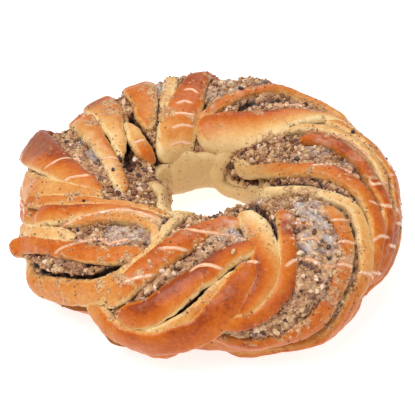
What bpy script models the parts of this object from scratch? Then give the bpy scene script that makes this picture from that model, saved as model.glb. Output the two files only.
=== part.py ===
"""Nut wreath bread: a ring of twisted dough round a nut filling, in metres with +Z up.

The wreath lies flat on Z = 0 with its origin under the middle of its box. A place on the bread is
given by two angles in degrees. The ring angle runs counter-clockwise from +X, seen from above.
The tube angle runs round the bread's own thickness: 0 faces outward, 90 up, 180 into the hole.
"""
import math

import bmesh
import bpy
import numpy as np

# The ring's centre stands a little off the origin, so that the whole bread's box is centred there
RING_CENTRE_X = 0.0000
RING_CENTRE_Y = 0.0066

# The ring, measured over the crests of its folds
HOLE_RADIUS = 0.0325
TUBE_HALF_WIDTH = 0.0500
TUBE_HALF_HEIGHT = 0.0350
WIDTH_SWING = 0.0035
HEIGHT_SWING = 0.0022
THICKEST_AT = 290.0
BASE_FLATTENING = 1.12

# The filling lies this far under the crests, and the dough keeps a gap to it, wider where hidden
FILLING_DEPTH = 0.0050
BASE_THICKNESS = 0.0220
FILLING_GAP = 0.0018
FILLING_ROUGHNESS = 0.0012
WIDER_BELOW = 0.3
FILLING_SEED = 7
FILLING_STEPS_ROUND_RING = 60
FILLING_STEPS_ROUND_TUBE = 20

# The dough's base is a trough under the filling
TROUGH_STEPS = 60
TROUGH_OUTER_RIM = -26.0
TROUGH_INNER_RIM = 158.0
TROUGH_SKIN_STEPS = 9
TROUGH_SINK = 0.0025

# A fold is swept along its path with this section: side and height, as shares of width and depth
FOLD_SECTION = ((-0.48, -1.00), (-0.52, -0.38), (-0.26, 0.00), (0.26, 0.00), (0.52, -0.38), (0.48, -1.00))
FOLD_DEPTH = 0.0100
FOLD_STEP = 0.0110
FOLD_END_LENGTH = 0.0120
FOLD_END_WIDTH = 0.45
FOLD_END_SINK = 0.0035

# The dough is shaped down to this height, then cut off flat at the height that it stands on
LOWEST_DOUGH = -0.0012

# The fused dough is softened by a remesh, then thinned out to this many triangles
DOUGH_VOXEL = 0.0014
DOUGH_TRIANGLES = 10400
SHARP_EDGE = 50.0

MM = 0.001

# Folds of dough, lobe by lobe from the front left: the (ring, tube) angles that a fold's crest
# passes from its outer foot to its inner end, its width in mm at both ends, and its rise in mm
# over the ring at both ends.
FOLDS = {
    # front left lobe
    "a_rim": (((240, 14), (243, 40), (246, 59), (250, 79), (251, 97), (253, 116), (258, 164)), (7, 6),
              (0, 0)),
    "a_upper": (((243, 18), (245, 36), (248, 50), (252, 66), (256, 78), (260, 89), (266, 99), (276, 107),
                (290, 112)), (14, 18, 18, 17, 15), (1, 1)),
    "a_middle": (((246, 10), (254, 22), (258, 34), (262, 46), (266, 55), (270, 62), (275, 71), (281, 77),
                 (290, 80)), (14, 18, 17, 15, 14, 14), (1, 2)),
    "a_thin": (((252, 4), (258, 11), (264, 23), (268, 35), (272, 47), (277, 57), (283, 66)),
               (5, 7, 9, 9, 7), (-1, -1)),
    "a_lower": (((238, 24), (239, 8), (244, -4), (251, -9), (258, -5), (264, 3), (269, 14), (273, 29),
                (277, 43), (281, 56), (286, 68)), (12, 17, 20, 21, 21, 20, 18, 14), (0, 2)),
    "a_foot": (((240, -56), (252, -36), (264, -32)), (16, 14), (0, 0)),
    # front right lobe
    "b_rim": (((277, 22), (281, 34), (285, 46), (288, 58), (290, 70), (291, 83), (292, 97), (292, 110),
              (293, 122)), (7, 14, 18, 20, 20, 18, 15, 11), (1, 2)),
    "b_middle": (((272, 19), (278, 21), (282, 23), (285, 27), (288, 33), (291, 42), (294, 55), (297, 68),
                 (301, 82), (306, 94), (309, 106)), (8, 10, 12, 14, 14, 13, 12, 12, 10), (1, 1)),
    "b_lower": (((262, -26), (272, -24), (280, -18), (287, -10), (293, -3), (298, 5), (302, 14), (306, 25),
                (310, 36), (314, 46), (318, 56), (321, 66), (323, 77), (321, 90)),
                (12, 13, 13, 13, 13, 11, 9), (0, 1)),
    "b_foot": (((276, -56), (290, -38), (300, -18), (307, 0), (312, 18)), (16, 8), (1, 0)),
    # right lobe
    "c_rim": (((296, -50), (308, -10), (312, 4), (316, 16), (319, 29), (321, 39), (324, 47), (327, 55),
              (330, 64), (331, 77), (330, 94), (327, 119), (328, 138), (338, 160)),
              (12, 13, 13, 11, 9, 8, 7, 9), (1, 1)),
    "c_hole": (((327, 124), (329, 139), (341, 162), (370, 184), (390, 194), (412, 196), (430, 191),
               (437, 179), (434, 166), (424, 152)), (8, 11, 12, 12, 11, 10, 12, 14), (0, 1, 1, 1)),
    "c_lower": (((312, 6), (322, 24), (328, 37), (333, 46), (338, 58), (342, 68), (346, 84), (349, 104),
                (353, 126), (366, 147), (386, 163), (402, 167), (415, 163)), (12, 13, 13, 12, 9), (1, 2)),
    "c_middle": (((304, -44), (320, 12), (331, 27), (338, 35), (344, 46), (350, 58), (358, 68), (366, 80),
                 (375, 94), (381, 108)), (12, 11, 10, 10, 8), (1, 2)),
    "c_upper": (((320, 20), (334, 38), (346, 40), (356, 46), (363, 54), (370, 63), (380, 76), (387, 93),
                (394, 110)), (6, 7, 7, 7), (0, 1)),
    "c_outer": (((306, -34), (320, 4), (329, 18), (338, 24), (348, 20), (357, 24), (365, 33), (375, 49),
                (384, 62), (390, 72)), (13, 11, 9, 9, 7), (1, 1)),
    "c_foot": (((318, -48), (334, -22), (348, -8), (360, -2), (372, 10), (384, 28)), (16, 15, 12), (0, 0)),
    # back right lobe
    "d_wide": (((-10, -50), (12, 8), (22, 38), (30, 60), (36, 80), (41, 95), (47, 110), (55, 121),
               (69, 130), (86, 137), (98, 143)), (16, 14, 12, 11, 9, 9, 13, 22, 29, 32, 33), (1, 1)),
    "d_upper": (((4, -50), (22, 4), (32, 30), (42, 44), (50, 48), (58, 56), (66, 73), (76, 88), (84, 104),
                (96, 116)), (16, 10, 8, 8, 9), (1, 1)),
    "d_outer": (((24, -50), (48, 4), (60, 22), (72, 38)), (16, 10), (0, 0)),
    # the smooth inner wall at the back
    "e_inner": (((66, 176), (84, 177), (102, 177), (118, 174), (140, 166)), (20, 24, 28, 30), (0, 0)),
    # back lobe
    "e_main": (((62, -50), (80, 6), (86, 26), (92, 50), (96, 70), (101, 92), (107, 112), (114, 128),
               (122, 142), (133, 160)), (20, 15, 13, 14, 19, 26, 28, 28), (1, 1, 2)),
    "e_left": (((82, -50), (98, 10), (103, 40), (106, 60), (110, 80), (114, 100), (121, 116)),
               (16, 13, 12, 10), (0, -1)),
    "e_outer": (((46, -50), (66, -2), (77, 18), (90, 40)), (15, 12), (0, 0)),
    # back left lobe
    "f_right": (((98, -50), (112, 8), (116, 32), (118, 52), (120, 68), (122, 82), (127, 98), (132, 114)),
                (16, 20, 26, 27, 24, 18, 11), (1, 1)),
    "f_inner": (((139, 94), (143, 107), (147, 117), (150, 127), (152, 137), (153, 147)),
                (7, 11, 14, 15, 13), (0, 1)),
    "f_left": (((112, -50), (129, 8), (133, 30), (135, 48), (138, 66), (145, 87), (155, 105), (169, 117)),
               (18, 22, 26, 26, 22, 14, 9), (1, 1)),
    # left lobe
    "g_right": (((122, -50), (139, 10), (143, 32), (147, 54), (153, 72), (160, 87), (171, 105), (184, 114),
                (197, 117), (208, 117)), (12, 13, 15, 18, 19, 17, 13, 12, 11), (1, 1)),
    "g_main": (((138, -50), (156, 6), (163, 24), (168, 38), (174, 52), (180, 65), (188, 77), (196, 88),
               (205, 98)), (24, 27, 27, 23, 14), (1, 2, 2, 1)),
    "g_lower": (((158, -50), (175, 6), (182, 28), (189, 46), (196, 68), (204, 85), (211, 97)),
                (20, 22, 22, 19, 12), (0, 0)),
    # left front lobe
    "h_rim": (((172, -44), (188, 22), (196, 46), (203, 66), (210, 83), (219, 99), (231, 113), (248, 121)),
              (11, 8, 8, 9), (1, 0)),
    "h_upper": (((180, -34), (194, 14), (201, 36), (205, 50), (211, 66), (216, 80), (223, 93), (231, 102),
                (246, 107)), (14, 16, 16, 14, 10), (1, 1)),
    "h_middle": (((190, -30), (201, 12), (208, 31), (214, 45), (221, 58)), (14, 14, 11), (0, 0)),
    "h_thin": (((214, 58), (219, 70), (224, 84), (231, 94), (240, 96), (247, 92), (249, 83)), (6, 7, 7, 6),
               (0, 1)),
    "h_lower": (((188, -40), (198, 4), (206, 20), (217, 37), (228, 51), (238, 61), (248, 72)),
                (17, 13, 12, 12), (1, 1)),
    "h_foot": (((192, -46), (208, -20), (223, -3), (233, 16), (242, 37), (250, 60)), (18, 16), (0, 0)),
    "h_hole": (((190, 150), (210, 160), (228, 160), (244, 148), (256, 128)), (16, 16), (1, 1)),
}

# Where a lobe swells out of the even ring or draws in: ring and tube angle, spread and swell in mm
LOBES = (
    (96, 45, 18, 6.0), (75, 40, 16, 3.0), (112, 40, 10, 2.0), (137, 40, 11, 5.0), (148, 32, 9, -6.0),
    (163, 25, 16, 10.0), (190, 12, 13, -4.5), (199, 30, 10, -8.0), (203, 0, 9, 8.0), (216, -14, 15, 8.0),
    (237, -10, 11, -7.0), (255, -15, 18, 4.0), (272, -16, 15, -9.0), (299, -14, 22, 7.0),
    (318, -6, 11, -7.0), (352, 10, 30, -4.0), (232, 150, 13, -2.0), (197, 164, 14, 8.5),
    (108, 192, 15, 4.5), (58, 194, 15, 3.5), (30, 190, 22, 5.0), (297, 150, 13, 5.0),
)

# Where the filling swells between the folds: ring and tube angle, spread in mm, swell in mm
SWELLS = (
    (309, 60, 26, 4.0), (300, 22, 22, 3.5), (284, 6, 16, 3.0), (318, 92, 16, 3.0),
    (279, 92, 14, 3.0), (254, 42, 12, 2.0), (232, 70, 14, 2.5), (220, 28, 12, 2.0),
    (5, 118, 20, 2.5), (28, 140, 16, 2.5), (346, 86, 14, 1.0), (84, 86, 18, 3.0),
    (112, 62, 14, 3.0), (196, 142, 16, 2.5), (168, 78, 14, 1.5), (70, 62, 16, 2.5),
)

CRUST_COLOUR = (0.62, 0.25, 0.09, 1.0)
FILLING_COLOUR = (0.27, 0.16, 0.09, 1.0)


def tube_half_sizes(ring):
    """Half width and half height of the bread at a ring angle: it is thickest at the front."""
    swing = np.cos(np.radians(ring - THICKEST_AT))
    return TUBE_HALF_WIDTH + WIDTH_SWING * swing, TUBE_HALF_HEIGHT + HEIGHT_SWING * swing


def swelling(ring, tube, swells):
    """The sum of round swells, each given by its place, spread and height, at some places."""
    here = even_point(ring, tube)
    total = np.zeros(here.shape[:-1])
    for swell_ring, swell_tube, spread, height in swells:
        distance = np.linalg.norm(here - even_point(swell_ring, swell_tube), axis=-1)
        total += height * MM * np.exp(-(distance / (spread * MM)) ** 2)
    return total


def bread_point(ring, tube, rise=0.0):
    """A point over the bread's surface, with its lobes."""
    return even_point(ring, tube, rise + swelling(ring, tube, LOBES))


def even_point(ring, tube, rise=0.0):
    """A point over the even ring, pressed flat where the bread lies on its base."""
    ring, tube, rise = np.broadcast_arrays(*(np.asarray(v, float) for v in (ring, tube, rise)))
    half_width, half_height = tube_half_sizes(ring)
    across, up = np.cos(np.radians(tube)), np.sin(np.radians(tube))
    lean = np.stack([across / half_width, up / half_height], -1)
    lean /= np.linalg.norm(lean, axis=-1, keepdims=True)
    drop = np.where(up < 0, BASE_FLATTENING, 1.0)
    radius = HOLE_RADIUS + half_width * (1 + across) + rise * lean[..., 0]
    height = half_height * (1 + up * drop) + rise * lean[..., 1]
    turn = np.radians(ring)
    return np.stack([RING_CENTRE_X + radius * np.cos(turn), RING_CENTRE_Y + radius * np.sin(turn), height], -1)


def surface_direction(ring, tube):
    """The direction straight out of the bread at a place."""
    out = bread_point(ring, tube, MM) - bread_point(ring, tube)
    return out / np.linalg.norm(out, axis=-1, keepdims=True)


def smooth_path(corners, step):
    """Places about a step apart on a smooth curve through the corners, as ring and tube angles."""
    corners = np.array(corners, float)
    ends = (2 * corners[0] - corners[1], 2 * corners[-1] - corners[-2])
    knots = np.vstack([ends[0], corners, ends[1]])
    places = []
    for before, start, end, after in zip(knots, knots[1:], knots[2:], knots[3:]):
        length = np.linalg.norm(bread_point(*end) - bread_point(*start))
        for share in np.arange(0, 1, 1 / max(1, round(length / step))):
            cubic = (2 * start + (end - before) * share
                     + (2 * before - 5 * start + 4 * end - after) * share ** 2
                     + (3 * start - before - 3 * end + after) * share ** 3)
            places.append(cubic / 2)
    return np.array(places + [corners[-1]])


def mesh_object(name, points, faces, material=None):
    """A mesh object from points and faces, shaded smooth across its shallow edges."""
    mesh = bpy.data.meshes.new(name)
    mesh.from_pydata([tuple(point) for point in points], [], faces)
    turn_faces_out(mesh)
    if material:
        mesh.materials.append(material)
    thing = bpy.data.objects.new(name, mesh)
    bpy.context.scene.collection.objects.link(thing)
    return thing


def turn_faces_out(mesh):
    """Makes every face of a closed mesh look outward."""
    shape = bmesh.new()
    shape.from_mesh(mesh)
    bmesh.ops.recalc_face_normals(shape, faces=shape.faces)
    shape.to_mesh(mesh)
    shape.free()


def tube_faces(rings, sides, closed):
    """Quads over rings of points, joined end to end or capped."""
    faces = []
    for ring in range(rings if closed else rings - 1):
        after = (ring + 1) % rings
        for side in range(sides):
            beside = (side + 1) % sides
            faces.append((ring * sides + side, ring * sides + beside, after * sides + beside,
                          after * sides + side))
    if not closed:
        faces.append(tuple(reversed(range(sides))))
        faces.append(tuple(range((rings - 1) * sides, rings * sides)))
    return faces


def along_path(share, values):
    """Values given at even places along a path, at any shares of its length."""
    return np.interp(share, np.linspace(0, 1, len(values)), values)


def fold(name, corners, widths, rises):
    """One fold of dough, swept along its path, narrow and sunk at both ends."""
    places = smooth_path(corners, FOLD_STEP)
    centres = bread_point(places[:, 0], places[:, 1])
    out = surface_direction(places[:, 0], places[:, 1])
    along = np.gradient(centres, axis=0)
    along /= np.linalg.norm(along, axis=1, keepdims=True)
    side = np.cross(along, out)
    side /= np.linalg.norm(side, axis=1, keepdims=True)
    run = np.concatenate([[0], np.cumsum(np.linalg.norm(np.diff(centres, axis=0), axis=1))])
    share = run / run[-1]
    near_end = np.clip(1 - np.minimum(run, run[-1] - run) / FOLD_END_LENGTH, 0, 1) ** 2
    width = along_path(share, widths) * MM * (1 - (1 - FOLD_END_WIDTH) * near_end)
    rise = along_path(share, rises) * MM - FOLD_END_SINK * near_end
    section = np.array(FOLD_SECTION)
    points = (centres[:, None]
              + side[:, None] * (section[None, :, :1] * width[:, None, None])
              + out[:, None] * (section[None, :, 1:] * FOLD_DEPTH + rise[:, None, None]))
    points = points.reshape(-1, 3)
    points[:, 2] = np.maximum(points[:, 2], LOWEST_DOUGH)
    return mesh_object(name, points, tube_faces(len(places), len(section), False))


def filling_rise(ring, tube):
    """How far the filling's surface lies over the ring's: a depth, less where it swells."""
    below = np.clip(-np.sin(np.radians(tube)), 0, 1)
    return swelling(ring, tube, SWELLS) - FILLING_DEPTH - (BASE_THICKNESS - FILLING_DEPTH) * below


def filling_ring(name, gap, roughness, material=None):
    """The filling, a ring that runs through the whole bread, grown by a gap."""
    rings = np.arange(FILLING_STEPS_ROUND_RING) * 360 / FILLING_STEPS_ROUND_RING
    tubes = np.arange(FILLING_STEPS_ROUND_TUBE) * 360 / FILLING_STEPS_ROUND_TUBE
    ring, tube = np.meshgrid(rings, tubes, indexing="ij")
    crags = np.random.default_rng(FILLING_SEED).random(ring.shape) * roughness
    wider_below = 1 + np.clip(WIDER_BELOW - np.sin(np.radians(tube)), 0, 1)
    points = bread_point(ring, tube, filling_rise(ring, tube) + gap * wider_below - crags)
    faces = tube_faces(len(rings), len(tubes), True)
    return mesh_object(name, points.reshape(-1, 3), faces, material)


def box(name, size, middle):
    """A cube of the given size, standing for what is cut away."""
    shape = bmesh.new()
    bmesh.ops.create_cube(shape, size=size)
    bmesh.ops.translate(shape, verts=shape.verts, vec=middle)
    mesh = bpy.data.meshes.new(name)
    shape.to_mesh(mesh)
    shape.free()
    thing = bpy.data.objects.new(name, mesh)
    bpy.context.scene.collection.objects.link(thing)
    return thing


def trough(name, material):
    """The base: the lower half of the ring, closed across through the filling's middle."""
    rings = np.arange(TROUGH_STEPS) * 360 / TROUGH_STEPS
    tubes = np.linspace(TROUGH_INNER_RIM - 360, TROUGH_OUTER_RIM, TROUGH_SKIN_STEPS)
    ring, tube = np.meshgrid(rings, tubes, indexing="ij")
    points = bread_point(ring, tube, -TROUGH_SINK)
    points[..., 2] = np.maximum(points[..., 2], LOWEST_DOUGH)
    return mesh_object(name, points.reshape(-1, 3), tube_faces(len(rings), len(tubes), True), material)


def material(name, colour, roughness):
    """A plain surface of one colour."""
    surface = bpy.data.materials.new(name)
    surface.use_nodes = True
    shader = surface.node_tree.nodes["Principled BSDF"]
    shader.inputs["Base Color"].default_value = colour
    shader.inputs["Roughness"].default_value = roughness
    shader.inputs["Metallic"].default_value = 0.0
    return surface


def apply_modifiers(thing):
    """Replaces an object's mesh by the one that its modifiers give."""
    shaped = thing.evaluated_get(bpy.context.evaluated_depsgraph_get())
    mesh = bpy.data.meshes.new_from_object(shaped)
    thing.modifiers.clear()
    thing.data = mesh


def triangle_count(mesh):
    return sum(len(face.vertices) - 2 for face in mesh.polygons)


def keep_largest_body(mesh):
    """Drops the scraps that the cut for the filling leaves loose."""
    shape = bmesh.new()
    shape.from_mesh(mesh)
    left = set(shape.verts)
    bodies = []
    while left:
        reached = [left.pop()]
        for point in reached:
            beside = {edge.other_vert(point) for edge in point.link_edges} & left
            left -= beside
            reached.extend(beside)
        bodies.append(reached)
    scraps = sorted(bodies, key=len)[:-1]
    bmesh.ops.delete(shape, geom=[point for body in scraps for point in body], context="VERTS")
    shape.to_mesh(mesh)
    shape.free()


def dough(crust):
    """The dough: the trough with every fold fused on, hollowed for the filling."""
    body = trough("dough", crust)
    folds = bpy.data.collections.new("folds")
    bpy.context.scene.collection.children.link(folds)
    for name, (corners, widths, rises) in FOLDS.items():
        piece = fold(name, corners, widths, rises)
        bpy.context.scene.collection.objects.unlink(piece)
        folds.objects.link(piece)
    join = body.modifiers.new("join folds", "BOOLEAN")
    join.operation = "UNION"
    join.solver = "MANIFOLD"
    join.operand_type = "COLLECTION"
    join.collection = folds
    room = filling_ring("room_for_filling", FILLING_GAP, 0)
    hollow = body.modifiers.new("room for filling", "BOOLEAN")
    hollow.operation = "DIFFERENCE"
    hollow.solver = "MANIFOLD"
    hollow.object = room
    soften = body.modifiers.new("soften", "REMESH")
    soften.mode = "VOXEL"
    soften.voxel_size = DOUGH_VOXEL
    apply_modifiers(body)
    keep_largest_body(body.data)
    below = box("below_the_base", 1.0, (0, 0, -0.5))
    thin_out = body.modifiers.new("thin out", "DECIMATE")
    thin_out.ratio = DOUGH_TRIANGLES / triangle_count(body.data)
    stand = body.modifiers.new("flat base", "BOOLEAN")
    stand.operation = "DIFFERENCE"
    stand.solver = "MANIFOLD"
    stand.object = below
    apply_modifiers(body)
    for piece in [room, below, *folds.objects]:
        bpy.data.objects.remove(piece)
    bpy.data.collections.remove(folds)
    return body


def main():
    for thing in list(bpy.data.objects):
        bpy.data.objects.remove(thing)
    crust = material("crust", CRUST_COLOUR, 0.45)
    nuts = material("nut filling", FILLING_COLOUR, 0.8)
    body = dough(crust)
    filling = filling_ring("filling", 0, FILLING_ROUGHNESS, nuts)
    for thing in (body, filling):
        thing.data.shade_smooth()
        thing.data.set_sharp_from_angle(angle=math.radians(SHARP_EDGE))


main()
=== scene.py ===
"""Looks of the nut wreath bread: browned folds, crumbly nut filling, raisins and sugar glaze.

Lengths are in metres. A place on the bread is a ring angle and a tube angle in degrees, as in the
model's own source: the ring angle runs counter-clockwise from +X, seen from above, and the tube
angle runs round the bread's thickness, 0 outward, 90 up and 180 into the hole.
"""
import math

import bmesh
import bpy
import numpy as np
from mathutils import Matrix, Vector
from mathutils.bvhtree import BVHTree
from mathutils.kdtree import KDTree


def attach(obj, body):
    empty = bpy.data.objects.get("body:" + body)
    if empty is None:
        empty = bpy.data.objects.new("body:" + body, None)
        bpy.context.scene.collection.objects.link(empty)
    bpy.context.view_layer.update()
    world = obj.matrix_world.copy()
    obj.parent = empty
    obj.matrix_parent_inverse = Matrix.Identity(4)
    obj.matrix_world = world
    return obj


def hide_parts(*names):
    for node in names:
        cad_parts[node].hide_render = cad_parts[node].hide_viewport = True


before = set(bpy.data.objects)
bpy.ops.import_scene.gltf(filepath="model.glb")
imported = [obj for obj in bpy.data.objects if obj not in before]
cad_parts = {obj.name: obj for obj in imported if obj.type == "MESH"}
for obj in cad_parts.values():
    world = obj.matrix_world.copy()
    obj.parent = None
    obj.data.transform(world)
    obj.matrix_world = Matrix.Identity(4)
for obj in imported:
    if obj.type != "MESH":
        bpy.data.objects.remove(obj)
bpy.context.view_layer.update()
scene = bpy.context.scene
MM = 0.001

# The ring and its folds, as in the model's source
RING_CENTRE_X = 0.0000
RING_CENTRE_Y = 0.0066
HOLE_RADIUS = 0.0325
TUBE_HALF_WIDTH = 0.0500
TUBE_HALF_HEIGHT = 0.0350
WIDTH_SWING = 0.0035
HEIGHT_SWING = 0.0022
THICKEST_AT = 290.0
BASE_FLATTENING = 1.12
FILLING_DEPTH = 0.0046
BASE_THICKNESS = 0.0220
TROUGH_OUTER_RIM = -26.0
TROUGH_INNER_RIM = 158.0
TROUGH_SINK = 0.0025
FOLD_DEPTH = 0.0100
FOLD_END_LENGTH = 0.0120
FOLD_END_WIDTH = 0.45
FOLD_END_SINK = 0.0035
LOWEST_DOUGH = 0.0

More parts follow.
